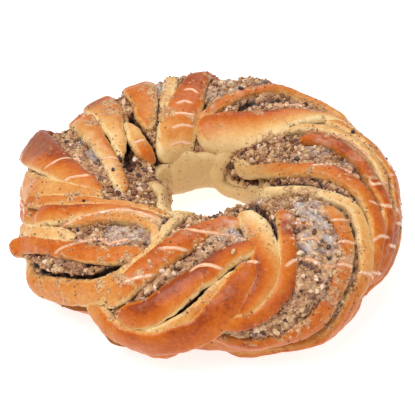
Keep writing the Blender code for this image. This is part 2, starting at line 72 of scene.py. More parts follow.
# Folds, lobe by lobe: the (ring, tube) angles that the crest passes, then at even places along it
# the width in mm, the rise in mm and how brown the crust is (0 pale to 1 dark), and last how much
# the browning changes towards one side. Ring angles past 360 go on round the bread.
FOLDS = {
    # front left lobe
    "a_rim": (((240, 14), (243, 40), (246, 59), (250, 79), (251, 97), (253, 116), (258, 164)), (7, 6),
        (0, 0), (0.30, 0.20, 0.12, 0.02), 0.0),
    "a_upper": (((243, 18), (245, 36), (248, 50), (252, 66), (256, 78), (260, 89), (266, 99), (276, 107),
        (290, 112)), (14, 18, 18, 17, 15), (1, 1), (0.30, 0.62, 0.70, 0.74, 0.70, 0.60), 0.0),
    "a_middle": (((246, 10), (254, 22), (258, 34), (262, 46), (266, 55), (270, 62), (275, 71), (281, 77),
        (290, 80)), (14, 18, 17, 15, 14, 14), (1, 2), (0.60, 0.74, 0.76, 0.74, 0.72, 0.64), -0.24),
    "a_thin": (((252, 4), (258, 11), (264, 23), (268, 35), (272, 47), (277, 57), (283, 66)),
        (5, 7, 9, 9, 7), (-1, -1), (0.10, 0.36, 0.50, 0.36, 0.14), 0.0),
    "a_lower": (((238, 24), (239, 8), (244, -4), (251, -9), (258, -5), (264, 3), (269, 14), (273, 29),
        (277, 43), (281, 56), (286, 68)), (12, 17, 20, 21, 21, 20, 18, 14), (0, 2),
        (0.42, 0.64, 0.74, 0.77, 0.78, 0.74, 0.62), -0.06),
    "a_foot": (((240, -56), (252, -36), (264, -32)), (16, 14), (0, 0), (0.70, 0.72, 0.70), 0.0),
    # front right lobe
    "b_rim": (((277, 22), (281, 34), (285, 46), (288, 58), (290, 70), (291, 83), (292, 97), (292, 110),
        (293, 122)), (7, 14, 18, 20, 20, 18, 15, 11), (1, 2), (0.55, 0.66, 0.68, 0.52, 0.34, 0.10, 0.02),
        -0.34),
    "b_middle": (((272, 19), (278, 21), (282, 23), (285, 27), (288, 33), (291, 42), (294, 55), (297, 68),
        (301, 82), (306, 94), (309, 106)), (8, 10, 12, 14, 14, 13, 12, 12, 10), (1, 1),
        (0.55, 0.72, 0.76, 0.68, 0.62, 0.58, 0.60, 0.58), 0.12),
    "b_lower": (((262, -26), (272, -24), (280, -18), (287, -10), (293, -3), (298, 5), (302, 14), (306, 25),
        (310, 36), (314, 46), (318, 56), (321, 66), (323, 77), (321, 90)), (12, 13, 13, 13, 13, 11, 9),
        (0, 1), (0.74, 0.72, 0.70, 0.66, 0.60, 0.40), -0.06),
    "b_foot": (((276, -56), (290, -38), (300, -18), (307, 0), (312, 18)), (16, 8), (1, 0),
        (0.75, 0.75, 0.68, 0.55), 0.0),
    # right lobe
    "c_rim": (((296, -50), (308, -10), (312, 4), (316, 16), (319, 29), (321, 39), (324, 47), (327, 55),
        (330, 64), (331, 77), (330, 94), (327, 119), (328, 138), (338, 160)), (12, 13, 13, 11, 9, 8, 7, 9),
        (1, 1), (0.72, 0.68, 0.58, 0.34, 0.16, 0.10, 0.04, 0.04), -0.10),
    "c_hole": (((327, 124), (329, 139), (341, 162), (370, 184), (390, 194), (412, 196), (430, 191),
        (437, 179), (434, 166), (424, 152)), (8, 11, 12, 12, 11, 10, 12, 14), (0, 1, 1, 1),
        (0.02, 0.02, 0.06, 0.04), 0.0),
    "c_lower": (((312, 6), (322, 24), (328, 37), (333, 46), (338, 58), (342, 68), (346, 84), (349, 104),
        (353, 126), (366, 147), (386, 163), (402, 167), (415, 163)), (12, 13, 13, 12, 9), (1, 2),
        (0.66, 0.58, 0.68, 0.55, 0.06), 0.12),
    "c_middle": (((304, -44), (320, 12), (331, 27), (338, 35), (344, 46), (350, 58), (358, 68), (366, 80),
        (375, 94), (381, 108)), (12, 11, 10, 10, 8), (1, 2), (0.74, 0.72, 0.76, 0.80, 0.72), 0.0),
    "c_upper": (((320, 20), (334, 38), (346, 40), (356, 46), (363, 54), (370, 63), (380, 76), (387, 93),
        (394, 110)), (6, 7, 7, 7), (0, 1), (0.55, 0.40, 0.26, 0.18), 0.0),
    "c_outer": (((306, -34), (320, 4), (329, 18), (338, 24), (348, 20), (357, 24), (365, 33), (375, 49),
        (384, 62), (390, 72)), (13, 11, 9, 9, 7), (1, 1), (0.74, 0.76, 0.76, 0.62, 0.40), 0.10),
    "c_foot": (((318, -48), (334, -22), (348, -8), (360, -2), (372, 10), (384, 28)), (16, 15, 12), (0, 0),
        (0.72, 0.70, 0.66, 0.60), 0.0),
    # back right lobe
    "d_wide": (((-10, -50), (12, 8), (22, 38), (30, 60), (36, 80), (41, 95), (47, 110), (55, 121),
        (69, 130), (86, 137), (98, 143)), (16, 14, 12, 11, 9, 9, 13, 22, 29, 32, 33), (1, 1),
        (0.70, 0.60, 0.40, 0.46, 0.46, 0.40, 0.36), 0.46),
    "d_upper": (((4, -50), (22, 4), (32, 30), (42, 44), (50, 48), (58, 56), (66, 73), (76, 88), (84, 104),
        (96, 116)), (16, 10, 8, 8, 9), (1, 1), (0.70, 0.60, 0.42, 0.60, 0.62), 0.0),
    "d_outer": (((24, -50), (48, 4), (60, 22), (72, 38)), (16, 10), (0, 0), (0.70, 0.66, 0.60, 0.50), 0.0),
    # the smooth inner wall at the back
    "e_inner": (((66, 176), (84, 177), (102, 177), (118, 174), (140, 166)), (20, 24, 28, 30), (0, 0),
        (0.04, 0.02, 0.02, 0.10), 0.05),
    # back lobe
    "e_main": (((62, -50), (80, 6), (86, 26), (92, 50), (96, 70), (101, 92), (107, 112), (114, 128),
        (122, 142), (133, 160)), (20, 15, 13, 14, 19, 26, 28, 28), (1, 1, 2),
        (0.72, 0.70, 0.72, 0.78, 0.72, 0.52, 0.14), 0.0),
    "e_left": (((82, -50), (98, 10), (103, 40), (106, 60), (110, 80), (114, 100), (121, 116)),
        (16, 13, 12, 10), (0, -1), (0.66, 0.50, 0.20, 0.24), 0.0),
    "e_outer": (((46, -50), (66, -2), (77, 18), (90, 40)), (15, 12), (0, 0), (0.70, 0.64, 0.60, 0.50),
        0.0),
    # back left lobe
    "f_right": (((98, -50), (112, 8), (116, 32), (118, 52), (120, 68), (122, 82), (127, 98), (132, 114)),
        (16, 20, 26, 27, 24, 18, 11), (1, 1), (0.70, 0.60, 0.58, 0.54, 0.44), 0.10),
    "f_inner": (((139, 94), (143, 107), (147, 117), (150, 127), (152, 137), (153, 147)),
        (7, 11, 14, 15, 13), (0, 1), (0.30, 0.28, 0.36, 0.62, 0.70), 0.0),
    "f_left": (((112, -50), (129, 8), (133, 30), (135, 48), (138, 66), (145, 87), (155, 105), (169, 117)),
        (16, 18, 21, 24, 22, 14, 9), (1, 1), (0.70, 0.50, 0.44, 0.46, 0.34, 0.20), -0.14),
    # left lobe
    "g_right": (((122, -50), (139, 10), (143, 32), (147, 54), (153, 72), (160, 87), (171, 105), (184, 114),
        (197, 117), (208, 117)), (12, 13, 15, 18, 19, 17, 13, 12, 11), (1, 1),
        (0.70, 0.52, 0.50, 0.48, 0.42, 0.36), -0.26),
    "g_main": (((138, -50), (156, 6), (163, 24), (168, 38), (174, 52), (180, 65), (188, 77), (196, 88),
        (205, 98)), (24, 27, 27, 23, 14), (1, 2, 2, 1), (0.76, 0.84, 0.74, 0.50), -0.25),
    "g_lower": (((158, -50), (175, 6), (182, 28), (189, 46), (196, 68), (204, 85), (211, 97)),
        (20, 22, 22, 19, 12), (0, 0), (0.68, 0.56, 0.40, 0.34), 0.0),
    # left front lobe
    "h_rim": (((172, -44), (188, 22), (196, 46), (203, 66), (210, 83), (219, 99), (231, 113), (248, 121)),
        (11, 8, 8, 9), (1, 0), (0.70, 0.60, 0.48, 0.36), 0.0),
    "h_upper": (((180, -34), (194, 14), (201, 36), (205, 50), (211, 66), (216, 80), (223, 93), (231, 102),
        (246, 107)), (14, 16, 16, 14, 10), (1, 1), (0.70, 0.62, 0.64, 0.56, 0.40), -0.25),
    "h_middle": (((190, -30), (201, 12), (208, 31), (214, 45), (221, 58)), (14, 14, 11), (0, 0),
        (0.62, 0.42, 0.26, 0.22), 0.0),
    "h_thin": (((214, 58), (219, 70), (224, 84), (231, 94), (240, 96), (247, 92), (249, 83)), (6, 7, 7, 6),
        (0, 1), (0.50, 0.52, 0.40, 0.26), 0.0),
    "h_lower": (((198, -34), (204, 4), (209, 20), (217, 37), (228, 51), (238, 61), (248, 72)),
        (11, 12, 12, 12), (1, 1), (0.72, 0.62, 0.68, 0.50), 0.0),
    "h_foot": (((192, -46), (208, -20), (223, -3), (233, 16), (242, 37), (250, 60)), (18, 16), (0, 0),
        (0.62, 0.54, 0.50, 0.38), 0.0),
    "h_hole": (((190, 150), (210, 160), (228, 160), (244, 148), (256, 128)), (16, 16), (1, 1),
        (0.05, 0.05, 0.08, 0.10), 0.0),
}

# Where a lobe swells out of the even ring or draws in: ring and tube angle, spread and swell in mm
LOBES = (
    (98, 50, 18, 8.0), (75, 40, 16, 3.0), (112, 40, 10, 2.0), (118, 58, 16, 4.5), (137, 40, 11, 4.0),
    (143, 42, 8, -6.5), (148, 30, 8, -3.5), (163, 25, 16, 8.5), (184, 14, 12, -5.0), (190, 12, 13, -4.5),
    (197, 16, 6, -5.0), (199, 30, 10, -8.0), (204, 3, 6, 6.5), (216, -14, 15, 5.5), (235, -4, 10, -9.0),
    (255, -15, 18, 4.0), (272, -16, 15, -9.0), (299, -14, 22, 6.0), (318, -6, 11, -7.0),
    (352, 10, 30, -4.0), (226, 152, 13, -4.0), (240, 140, 11, -4.0), (194, 168, 15, 11.0),
    (114, 196, 17, 7.0), (62, 200, 17, 6.5), (30, 190, 22, 5.0), (303, 150, 11, 4.5), (268, -34, 12, -8.0),
    (234, -36, 13, -8.0), (192, -10, 12, -5.0), (26, 26, 19, -5.0), (12, 30, 12, -3.0), (70, 52, 24, 5.0),
    (324, -26, 13, -5.0), (244, -22, 12, 5.0),
)

# Where the filling swells between the folds: ring and tube angle, spread in mm, swell in mm
SWELLS = (
    (309, 60, 26, 4.0), (300, 22, 22, 3.5), (284, 6, 16, 3.0), (318, 92, 16, 3.0), (279, 92, 14, 3.0),
    (254, 42, 12, 2.0), (232, 70, 14, 2.5), (220, 28, 12, 2.0), (5, 118, 20, 2.5), (28, 140, 16, 2.5),
    (346, 86, 14, 1.0), (84, 86, 18, 3.0), (112, 62, 14, 3.0), (196, 142, 16, 2.5), (168, 78, 14, 1.5),
    (70, 62, 16, 2.5),
)

# Crevices torn in the filling: the (ring, tube) angles along one, its width and its depth in mm
CREVICES = (
    (((249, 7), (254, 12), (259, 17), (263, 28), (266, 38), (269, 50), (273, 59), (278, 67)), 1.5, 7.0),
    (((302, 112), (300, 98), (298, 84), (296, 72), (293, 60), (290, 50), (286, 39), (281, 31)), 1.7, 6.0),
    (((275, 13), (281, 13), (286, 12), (289, 12), (292, 16), (296, 21)), 1.6, 6.0),
    (((319, 50), (315, 37), (311, 23), (307, 9), (303, -8)), 1.8, 5.0),
    (((426, 166), (426, 176), (418, 184), (400, 181), (382, 174), (366, 162), (350, 151), (341, 136),
      (338, 101), (337, 81), (333, 64), (328, 52)), 2.6, 4.0),
    (((213, 4), (219, 10), (226, 23), (233, 34), (240, 51), (246, 63)), 1.7, 6.5),
    (((131, 90), (137, 108), (141, 124), (144, 138), (147, 150)), 4.0, 9.0),
    (((152, 108), (158, 117), (166, 124), (174, 128)), 5.0, 9.0),
    (((143, 82), (146, 98), (150, 110), (155, 117)), 3.0, 6.0),
    (((300, 112), (304, 128), (308, 146)), 5.0, 8.0),
    (((71, 100), (62, 86), (56, 74), (48, 66), (42, 60)), 3.0, 5.0),
    (((336, 31), (345, 35), (354, 38), (363, 44), (372, 55)), 2.0, 4.0),
    (((76, 60), (82, 76), (90, 94), (96, 112)), 2.6, 4.0),
    (((330, 72), (326, 84), (325, 100)), 2.0, 4.0),
)

# Where the base draws back from the filling: ring and tube angle, spread in mm, negative swell in mm
BASE_DENTS = (
    (426, 172, 6, -7.0), (416, 184, 6, -7.0), (400, 182, 6, -7.0), (384, 176, 6, -7.0), (368, 166, 6, -7.0),
    (306, 158, 9, -6.0),
)

# The most toasted tips of the folds: ring and tube angle, reach in mm and how much browner
TOASTED = (
    (142, 26, 9, 0.24), (134, 50, 10, 0.22), (117, 46, 10, 0.14), (158, 22, 14, 0.12), (92, 44, 9, 0.10),
    (212, 4, 12, 0.10), (303, 84, 7, 0.34), (330, 52, 12, 0.08),
)

# Dough: how finely the folds are swept, how round they are, and how uneven. Unevenness is given in
# layers, each with its height in mm, the size of its bumps in mm and its seed.
STRIP_STEP = 0.0011
SECTION_TOP = 23
SECTION_BOTTOM = 7
ROOT_WIDTH = 0.70
CROWN_SHARE = 0.38
LOWEST_CROWN = 3.2 * MM
HIGHEST_CROWN = 6.0 * MM
TROUGH_STEPS = 300
TROUGH_SKIN_STEPS = 60
SIDE_WOBBLE = 1.2 * MM
CREST_WOBBLE = 0.7 * MM
DOUGH_UNEVENNESS = ((0.50, 9.0, 401), (0.34, 4.2, 402), (0.14, 2.1, 403))
FOLD_SQUARENESS = 2.45
SQUARER_PER_MM = 0.03
SQUARER_FROM = 12 * MM
MOST_SQUARING = 24
CRUSTY_SPOTS = ((165, 32, 17), (168, 44, 13), (137, 46, 8))
OUTER_BASE_BROWN = 0.74
INNER_BASE_BROWN = 0.10
EXPOSURE_RAYS = 8
EXPOSURE_REACH = 14 * MM
RAY_OUTWARD = 0.45
RAY_SIDEWAYS = 0.89

# Filling: its grid over the side that shows, and the size and depth of its grains
FILLING_RINGS = 620
FILLING_FIRST_TUBE = -40.0
FILLING_LAST_TUBE = 190.0
FILLING_TUBES = 172
FILLING_HIDDEN_TUBES = 20
LARGE_GRAIN = 3.4 * MM
SMALL_GRAIN = 1.6 * MM
FILLING_LUMPS = ((1.2, 9.0, 31), (1.0, 4.5, 32))

# How deep the filling sinks beside a fold, and how far that reaches
EDGE_SINK = 2.0 * MM
EDGE_REACH = 1.5 * MM

# Filling stuck to the folds: how far up the folds, and the patches that lie farther from it
# with their (ring, tube) angles, reach in mm and strength
SMEAR_REACH = 2.4 * MM
SMEAR_FARTHEST = 6 * MM
SMEAR_PATCHES = ((0.55, 9.0, 301), (0.95, 2.6, 302))
SMEARS = (
    ((113, 74), 12, 1.0), ((118, 100), 9, 0.8), ((135, 62), 8, 0.9), ((140, 78), 8, 0.8), ((131, 44), 6, 0.6),
    ((196, 40), 9, 0.6), ((205, 78), 7, 0.6), ((100, 118), 8, 0.6), ((90, 60), 7, 0.5), ((150, 74), 7, 0.8),
    ((330, 100), 7, 0.7), ((350, 62), 6, 0.5), ((20, 100), 7, 0.5), ((70, 78), 8, 0.5), ((244, 60), 6, 0.6),
    ((170, 84), 8, 0.5), ((228, 96), 6, 0.6), ((312, 40), 6, 0.5), ((239, 37), 5, 1.0), ((245, 46), 5, 0.9),
    ((249, 53), 4, 0.7),
)

# Chopped nuts: how many, and their smallest and largest half size
LARGE_NUTS = ((620, 2.1 * MM, 3.3 * MM), (1840, 1.2 * MM, 2.1 * MM))
SMALL_NUTS = ((4600, 0.65 * MM, 1.2 * MM), (2800, 0.40 * MM, 0.65 * MM))
NUT_TINT = 0.48
NUT_TINT_SPREAD = 0.30
NUT_TRIES = 60000
OPEN_SKY = 9 * MM
LOWEST_TOPPING = 4 * MM
PLACE_LIFT = 0.2 * MM
DEEPEST_NUT = -2.2

# Crumbs that stuck to the folds, and the bare dark specks among them
CRUMB_COUNT = 6500
CRUMB_TRIES = 60000
SMALLEST_CRUMB = 0.26 * MM
LARGEST_CRUMB = 1.05 * MM
CRUMB_CLUMPS = ((1.0, 11.0, 55), (0.6, 4.0, 56))
CRUMB_REACH = 2.8 * MM
CRUMB_FARTHEST = 7 * MM
DARK_CRUMBS = 0.30

# Camera: the photograph's viewing angle and framing
IMAGE_SIDE = 415
FOCAL_PIXELS = 1125.0
CAMERA_DISTANCE = 0.78
CAMERA_ELEVATION = 40.0
AIM = Vector((RING_CENTRE_X, RING_CENTRE_Y, 0.026))
WORLD_STRENGTH = 0.50
FLOOR_HALF_SIDE = 3.0

# Glaze lines: their section, how finely they are laid, and the drop at which one breaks off
GLAZE_WIDTH = 2.9 * MM
GLAZE_THICKNESS = 0.26 * MM
GLAZE_STEP = 0.5 * MM
GLAZE_JUMP = 2.2 * MM
SHORTEST_GLAZE = 2.5 * MM
GLAZE_ACROSS = np.linspace(-1, 1, 7)
GLAZE_ROOT = 0.25 * MM
GLAZE_TAPER = 2.2 * MM
GLAZE_SINK = 0.04 * MM
POOL_PATCHES = ((0.9, 5.0, 61), (0.5, 2.2, 62))

# Each line's corners in picture pixels, from the left edge and from the top
GLAZE_IN_PICTURE = (
    ((53, 230), (69, 223), (86, 216), (103, 212), (120, 209.5), (138, 212), (154, 218), (158, 223)),
    ((55, 253), (64, 247), (80, 242), (99, 239), (108, 244), (115, 242), (129, 239)),
    ((178, 230), (188, 229), (200, 231), (226, 235), (245, 239)), ((159, 248), (175, 248), (188, 251)),
    ((124, 282), (136, 278), (154, 275)), ((190, 271), (199, 265.5), (210, 265), (222, 269)),
    ((232, 268), (246, 262), (258, 262)), ((292, 223), (314, 224)),
    ((291, 238), (302, 239), (314, 238), (320, 243)),
    ((286, 266), (296, 260), (311, 260), (327, 267), (342, 264), (355, 268)),
    ((333, 244), (345, 241), (355, 244)), ((331, 220), (342, 219.5), (353, 221.5)),
    ((357, 272), (370, 274), (373, 279)), ((371, 272), (381, 274)),
    ((370, 201), (381, 205), (394, 207), (399, 213)), ((369, 180), (373, 184), (387, 183), (394, 188)),
    ((395, 223), (402, 223.5)), ((374, 240), (381, 236), (389, 237.5)), ((389, 245), (396, 247)),
    ((388, 175), (394, 175)), ((303, 134), (314, 132), (328, 134), (344, 139), (358, 148), (369, 158)),
    ((312, 165), (328, 164), (344, 169.5), (358, 177)),
    ((248, 109), (265, 104), (283, 105), (297, 105), (312, 109)),
    ((45, 168), (54, 162), (64, 158), (80, 159)), ((63, 182), (72, 177), (89, 175)),
    ((101, 159), (110, 157), (119, 159)), ((133, 143), (145, 139.5)), ((184, 90), (191, 89), (198, 93)),
    ((177, 103), (185, 101), (192, 103)), ((172, 114), (181, 113), (195, 115)),
    ((172, 128), (183, 125), (194, 127)), ((171, 145), (181, 142), (192, 144)),
)

# The same on the side that the photograph doesn't show: the ring and tube angles of each line's ends
GLAZE_BEHIND = (
    ((14, 22), (27, 30)), ((17, 2), (33, 12)), ((31, 36), (46, 30)), ((36, 8), (52, 16)),
    ((48, -6), (63, 2)), ((54, 30), (69, 24)), ((61, 10), (77, 18)), ((72, 32), (86, 40)),
    ((76, -4), (92, 4)), ((84, 20), (99, 14)), ((93, 36), (106, 44)), ((97, 6), (113, 12)),
    ((104, 26), (119, 20)), ((112, -6), (126, 2)), ((118, 38), (131, 32)), ((124, 16), (139, 24)),
    ((133, 0), (147, 6)), ((138, 36), (152, 42)), ((146, 18), (160, 12)), ((155, 0), (170, 8)),
    ((167, 22), (181, 16)), ((178, -2), (191, 4)), ((-20, 12), (-8, 22)), ((-8, -8), (6, 0)),
    ((-34, -4), (-24, 6)), ((4, 34), (16, 28)), ((238, -22), (246, -14)), ((262, -30), (276, -24)),
    ((290, -32), (304, -26)),
)

# Pools of thin glaze: the middle and the reach in picture pixels, and how thick it lies there
POOLS_IN_PICTURE = (
    ((308, 214), 24, 0.75), ((322, 236), 22, 0.8), ((336, 254), 16, 0.6), ((292, 205), 14, 0.5),
    ((236, 232), 15, 0.8), ((214, 238), 10, 0.4), ((142, 234), 15, 0.85), ((118, 232), 12, 0.5),
    ((158, 87), 12, 0.8), ((215, 90), 11, 0.6), ((236, 88), 14, 0.8), ((207, 108), 8, 0.6),
    ((262, 84), 12, 0.5), ((320, 150), 14, 0.45), ((352, 158), 12, 0.4), ((300, 160), 10, 0.35),
    ((97, 150), 12, 0.7), ((84, 138), 10, 0.6), ((108, 168), 12, 0.6), ((262, 200), 8, 0.4),
    ((160, 222), 8, 0.7), ((196, 262), 8, 0.3), ((328, 290), 12, 0.3),
)

# Raisins and dark fruit: the middle in picture pixels, and the longest half size in mm
RAISINS_IN_PICTURE = (
    ((113, 170), 1.5), ((241, 89), 2.2), ((353, 132), 1.9), ((386, 159), 1.2), ((328, 247), 1.9),
    ((329, 259), 1.6), ((78, 230), 1.5), ((84, 201), 1.3),
)
RAISINS_BEHIND = ((52, 34, 1.8), (81, 22, 1.5), (104, 40, 1.4), (129, 18, 1.7), (152, 30, 1.5), (22, 44, 1.4))

# Single pale nuts: the middle in picture pixels, the longest half size in mm and the tint
PALE_NUTS_IN_PICTURE = (
    ((162, 272), 2.3, 0.97), ((174, 274), 1.9, 1.0), ((46, 262), 2.1, 0.97), ((315, 212), 2.4, 0.92),
    ((141, 241), 2.2, 0.75), ((150, 262), 2.0, 0.8), ((296, 148), 1.8, 0.85), ((233, 252), 2.0, 0.8),
)

# Colours as a picture holds them, from 0 to 255, at places from 0 to 1 along each scale
CRUST_STOPS = (
    (0.00, (238, 210, 156)),
    (0.20, (229, 197, 140)),
    (0.40, (220, 166, 98)),
    (0.58, (206, 132, 60)),
    (0.76, (198, 103, 25)),
    (0.90, (179, 81, 14)),
    (1.00, (146, 60, 12)),
)
STUCK_STOPS = (
    (0.00, (84, 50, 34)),
    (0.25, (150, 104, 70)),
    (0.55, (196, 150, 104)),
    (0.80, (222, 184, 134)),
    (1.00, (230, 204, 170)),
)
FILLING_STOPS = (
    (0.00, (34, 19, 13)),
    (0.18, (92, 58, 38)),
    (0.38, (158, 112, 76)),
    (0.60, (190, 144, 100)),
    (0.82, (208, 170, 126)),
    (1.00, (222, 194, 152)),
)
NUT_STOPS = (
    (0.00, (64, 34, 20)),
    (0.18, (122, 72, 42)),
    (0.42, (168, 120, 80)),
    (0.66, (198, 154, 108)),
    (0.86, (216, 182, 138)),
    (1.00, (236, 208, 186)),
)
GLAZE_STOPS = (
    (0.00, (214, 136, 76)),
    (0.45, (220, 158, 110)),
    (0.80, (227, 178, 142)),
    (1.00, (232, 194, 168)),
)


def lengths(vectors):
    """The length of each vector in an array."""
    return np.linalg.norm(vectors, axis=-1)


def unit(vectors):
    """Each vector of an array, made 1 long."""
    return vectors / np.linalg.norm(vectors, axis=-1, keepdims=True)


# Shape of the bread

def tube_half_sizes(ring):
    """Half width and half height of the bread at a ring angle: it is thickest at the front."""
    swing = np.cos(np.radians(ring - THICKEST_AT))
    return TUBE_HALF_WIDTH + WIDTH_SWING * swing, TUBE_HALF_HEIGHT + HEIGHT_SWING * swing


def swelling(ring, tube, swells):
    """The sum of round swells, each given by its place, spread and height, at some places."""
    here = even_point(ring, tube)
    total = np.zeros(here.shape[:-1])
    for swell_ring, swell_tube, spread, height in swells:
        distance = lengths(here - even_point(swell_ring, swell_tube))
        total += height * MM * np.exp(-(distance / (spread * MM)) ** 2)
    return total


def bread_point(ring, tube, rise=0.0):
    """A point over the bread's surface, with its lobes."""
    return even_point(ring, tube, rise + swelling(ring, tube, LOBES))


def even_point(ring, tube, rise=0.0):
    """A point over the even ring, pressed flat where the bread lies on its base."""
    ring, tube, rise = np.broadcast_arrays(*(np.asarray(v, float) for v in (ring, tube, rise)))
    half_width, half_height = tube_half_sizes(ring)
    across, up = np.cos(np.radians(tube)), np.sin(np.radians(tube))
    lean = unit(np.stack([across / half_width, up / half_height], -1))
    drop = np.where(up < 0, BASE_FLATTENING, 1.0)
    radius = HOLE_RADIUS + half_width * (1 + across) + rise * lean[..., 0]
    height = half_height * (1 + up * drop) + rise * lean[..., 1]
    turn = np.radians(ring)
    x = RING_CENTRE_X + radius * np.cos(turn)
    y = RING_CENTRE_Y + radius * np.sin(turn)
    return np.stack([x, y, height], -1)


def surface_direction(ring, tube):
    """The direction straight out of the bread at a place."""
    return unit(bread_point(ring, tube, MM) - bread_point(ring, tube))


def with_end_knots(corners):
    """The corners of a curve, with one more knot beyond each end."""
    return np.vstack([2 * corners[0] - corners[1], corners, 2 * corners[-1] - corners[-2]])


def curve_place(before, start, end, after, share):
    """A place between two knots of a smooth curve that also passes the knots before and after."""
    return (2 * start + (end - before) * share + (2 * before - 5 * start + 4 * end - after) * share ** 2
            + (3 * start - before - 3 * end + after) * share ** 3) / 2


def smooth_path(corners, step):
    """Places about a step apart on a smooth curve through the corners, as ring and tube angles."""
    corners = np.array(corners, float)
    knots = with_end_knots(corners)
    places = []
    for before, start, end, after in zip(knots, knots[1:], knots[2:], knots[3:]):
        length = np.linalg.norm(bread_point(*end) - bread_point(*start))
        for share in np.arange(0, 1, 1 / max(1, round(length / step))):
            places.append(curve_place(before, start, end, after, share))
    return np.array(places + [corners[-1]])


def walked_length(points):
    """How far along a path each of its points lies."""
    return np.concatenate([[0], np.cumsum(lengths(np.diff(points, axis=0)))])


# Random but repeatable unevenness

def cell_number(cells, seed):
    """A repeatable random number from 0 to 1 for each cell of a cubic lattice."""
    x, y, z = (cells[..., axis].astype(np.int64) for axis in range(3))
    mixed = (x * 374761393 + y * 668265263 + z * 1103515245 + seed * 974126177) & 0xFFFFFFFF
    mixed = ((mixed ^ (mixed >> 13)) * 1274126177) & 0xFFFFFFFF
    mixed = ((mixed ^ (mixed >> 15)) * 1181783497) & 0xFFFFFFFF
    return (mixed ^ (mixed >> 16)) / 0xFFFFFFFF


def soft_noise(points, size, seed):
    """Smooth noise from -1 to 1 whose bumps have about the given size."""
    scaled = np.asarray(points) / size
    cell = np.floor(scaled).astype(np.int64)
    share = scaled - cell
    share = share * share * (3 - 2 * share)
    total = np.zeros(scaled.shape[:-1])
    for corner in np.ndindex(2, 2, 2):
        weight = np.prod(np.where(corner, share, 1 - share), axis=-1)
        total += weight * cell_number(cell + np.array(corner), seed)
    return total * 2 - 1


def layered_noise(points, layers):
    """The sum of several soft noises, each given by its strength, bump size in mm and seed."""
    return sum(strength * soft_noise(points, size * MM, seed) for strength, size, seed in layers)


def grains(points, size, seed):
    """Distance to the nearest grain's middle, as a share of the size, and that grain's own number."""
    scaled = points / size
    cell = np.floor(scaled).astype(np.int64)
    nearest = np.full(scaled.shape[:-1], 9.0)
    number = np.zeros(nearest.shape)
    for step in np.ndindex(3, 3, 3):
        beside = cell + np.array(step) - 1
        middle = beside + np.stack([cell_number(beside, seed + axis) for axis in range(3)], -1)
        distance = lengths(scaled - middle)
        closer = distance < nearest
        nearest = np.where(closer, distance, nearest)
        number = np.where(closer, cell_number(beside, seed + 3), number)
    return nearest, number


def run_noise(run, size, seed):
    """Smooth noise from -1 to 1 along a path."""
    line = np.stack([run, np.full_like(run, 0.37 * size), np.full_like(run, 0.61 * size)], -1)
    return soft_noise(line, size, seed)


# Meshes

def mesh_object(name, points, faces, smooth=True):
    """A mesh object at the origin, from points and faces in the frame."""
    mesh = bpy.data.meshes.new(name)
    mesh.from_pydata(np.asarray(points).tolist(), [], faces)
    mesh.polygons.foreach_set("use_smooth", [smooth] * len(mesh.polygons))
    thing = bpy.data.objects.new(name, mesh)
    scene.collection.objects.link(thing)
    return thing


def turn_faces_out(mesh):
    """Makes every face of a closed mesh look outward."""
    shape = bmesh.new()
    shape.from_mesh(mesh)
    bmesh.ops.recalc_face_normals(shape, faces=shape.faces)
    shape.to_mesh(mesh)
    shape.free()


def tube_faces(rings, sides, closed):
    """Quads over rings of points, joined end to end or capped."""
    faces = []
    for ring in range(rings if closed else rings - 1):
        after = (ring + 1) % rings
        for side in range(sides):
            beside = (side + 1) % sides
            faces.append((ring * sides + side, ring * sides + beside, after * sides + beside,
                          after * sides + side))
    if not closed:
        faces.append(tuple(reversed(range(sides))))
        faces.append(tuple(range((rings - 1) * sides, rings * sides)))
    return faces


def point_array(mesh):
    points = np.empty(len(mesh.vertices) * 3)
    mesh.vertices.foreach_get("co", points)
    return points.reshape(-1, 3)


def normal_array(mesh):
    normals = np.empty(len(mesh.vertices) * 3)
    mesh.vertex_normals.foreach_get("vector", normals)
    return normals.reshape(-1, 3)


def move_points(mesh, points):
    mesh.vertices.foreach_set("co", np.asarray(points, float).ravel())
    mesh.update()


def store(mesh, name, values):
    """Keeps a number for each vertex, for the material to read."""
    layer = mesh.attributes.new(name, "FLOAT", "POINT")
    layer.data.foreach_set("value", np.asarray(values, np.float32))


def surface_tree(*things):
    """A tree for finding the surface of some objects that sit at the origin."""
    points, faces = [], []
    count = 0
    for thing in things:
        points += [tuple(vertex.co) for vertex in thing.data.vertices]
        faces += [tuple(corner + count for corner in face.vertices) for face in thing.data.polygons]
        count += len(thing.data.vertices)
    return BVHTree.FromPolygons(points, faces)


def surface_distances(tree, points, reach):
    """Each point's distance to a surface, or 1 m where that is beyond the reach."""
    found = [tree.find_nearest(point, reach)[3] for point in points]
    return np.array([1.0 if distance is None else distance for distance in found])


def point_tree(points):
    """A tree for finding the nearest of some points."""
    tree = KDTree(len(points))
    for number, point in enumerate(points):
        tree.insert(point, number)
    tree.balance()
    return tree


def axis_distances(points):
    """Each point's distance from the ring's upright axis."""
    return lengths(points[:, :2] - np.array((RING_CENTRE_X, RING_CENTRE_Y)))


# Dough

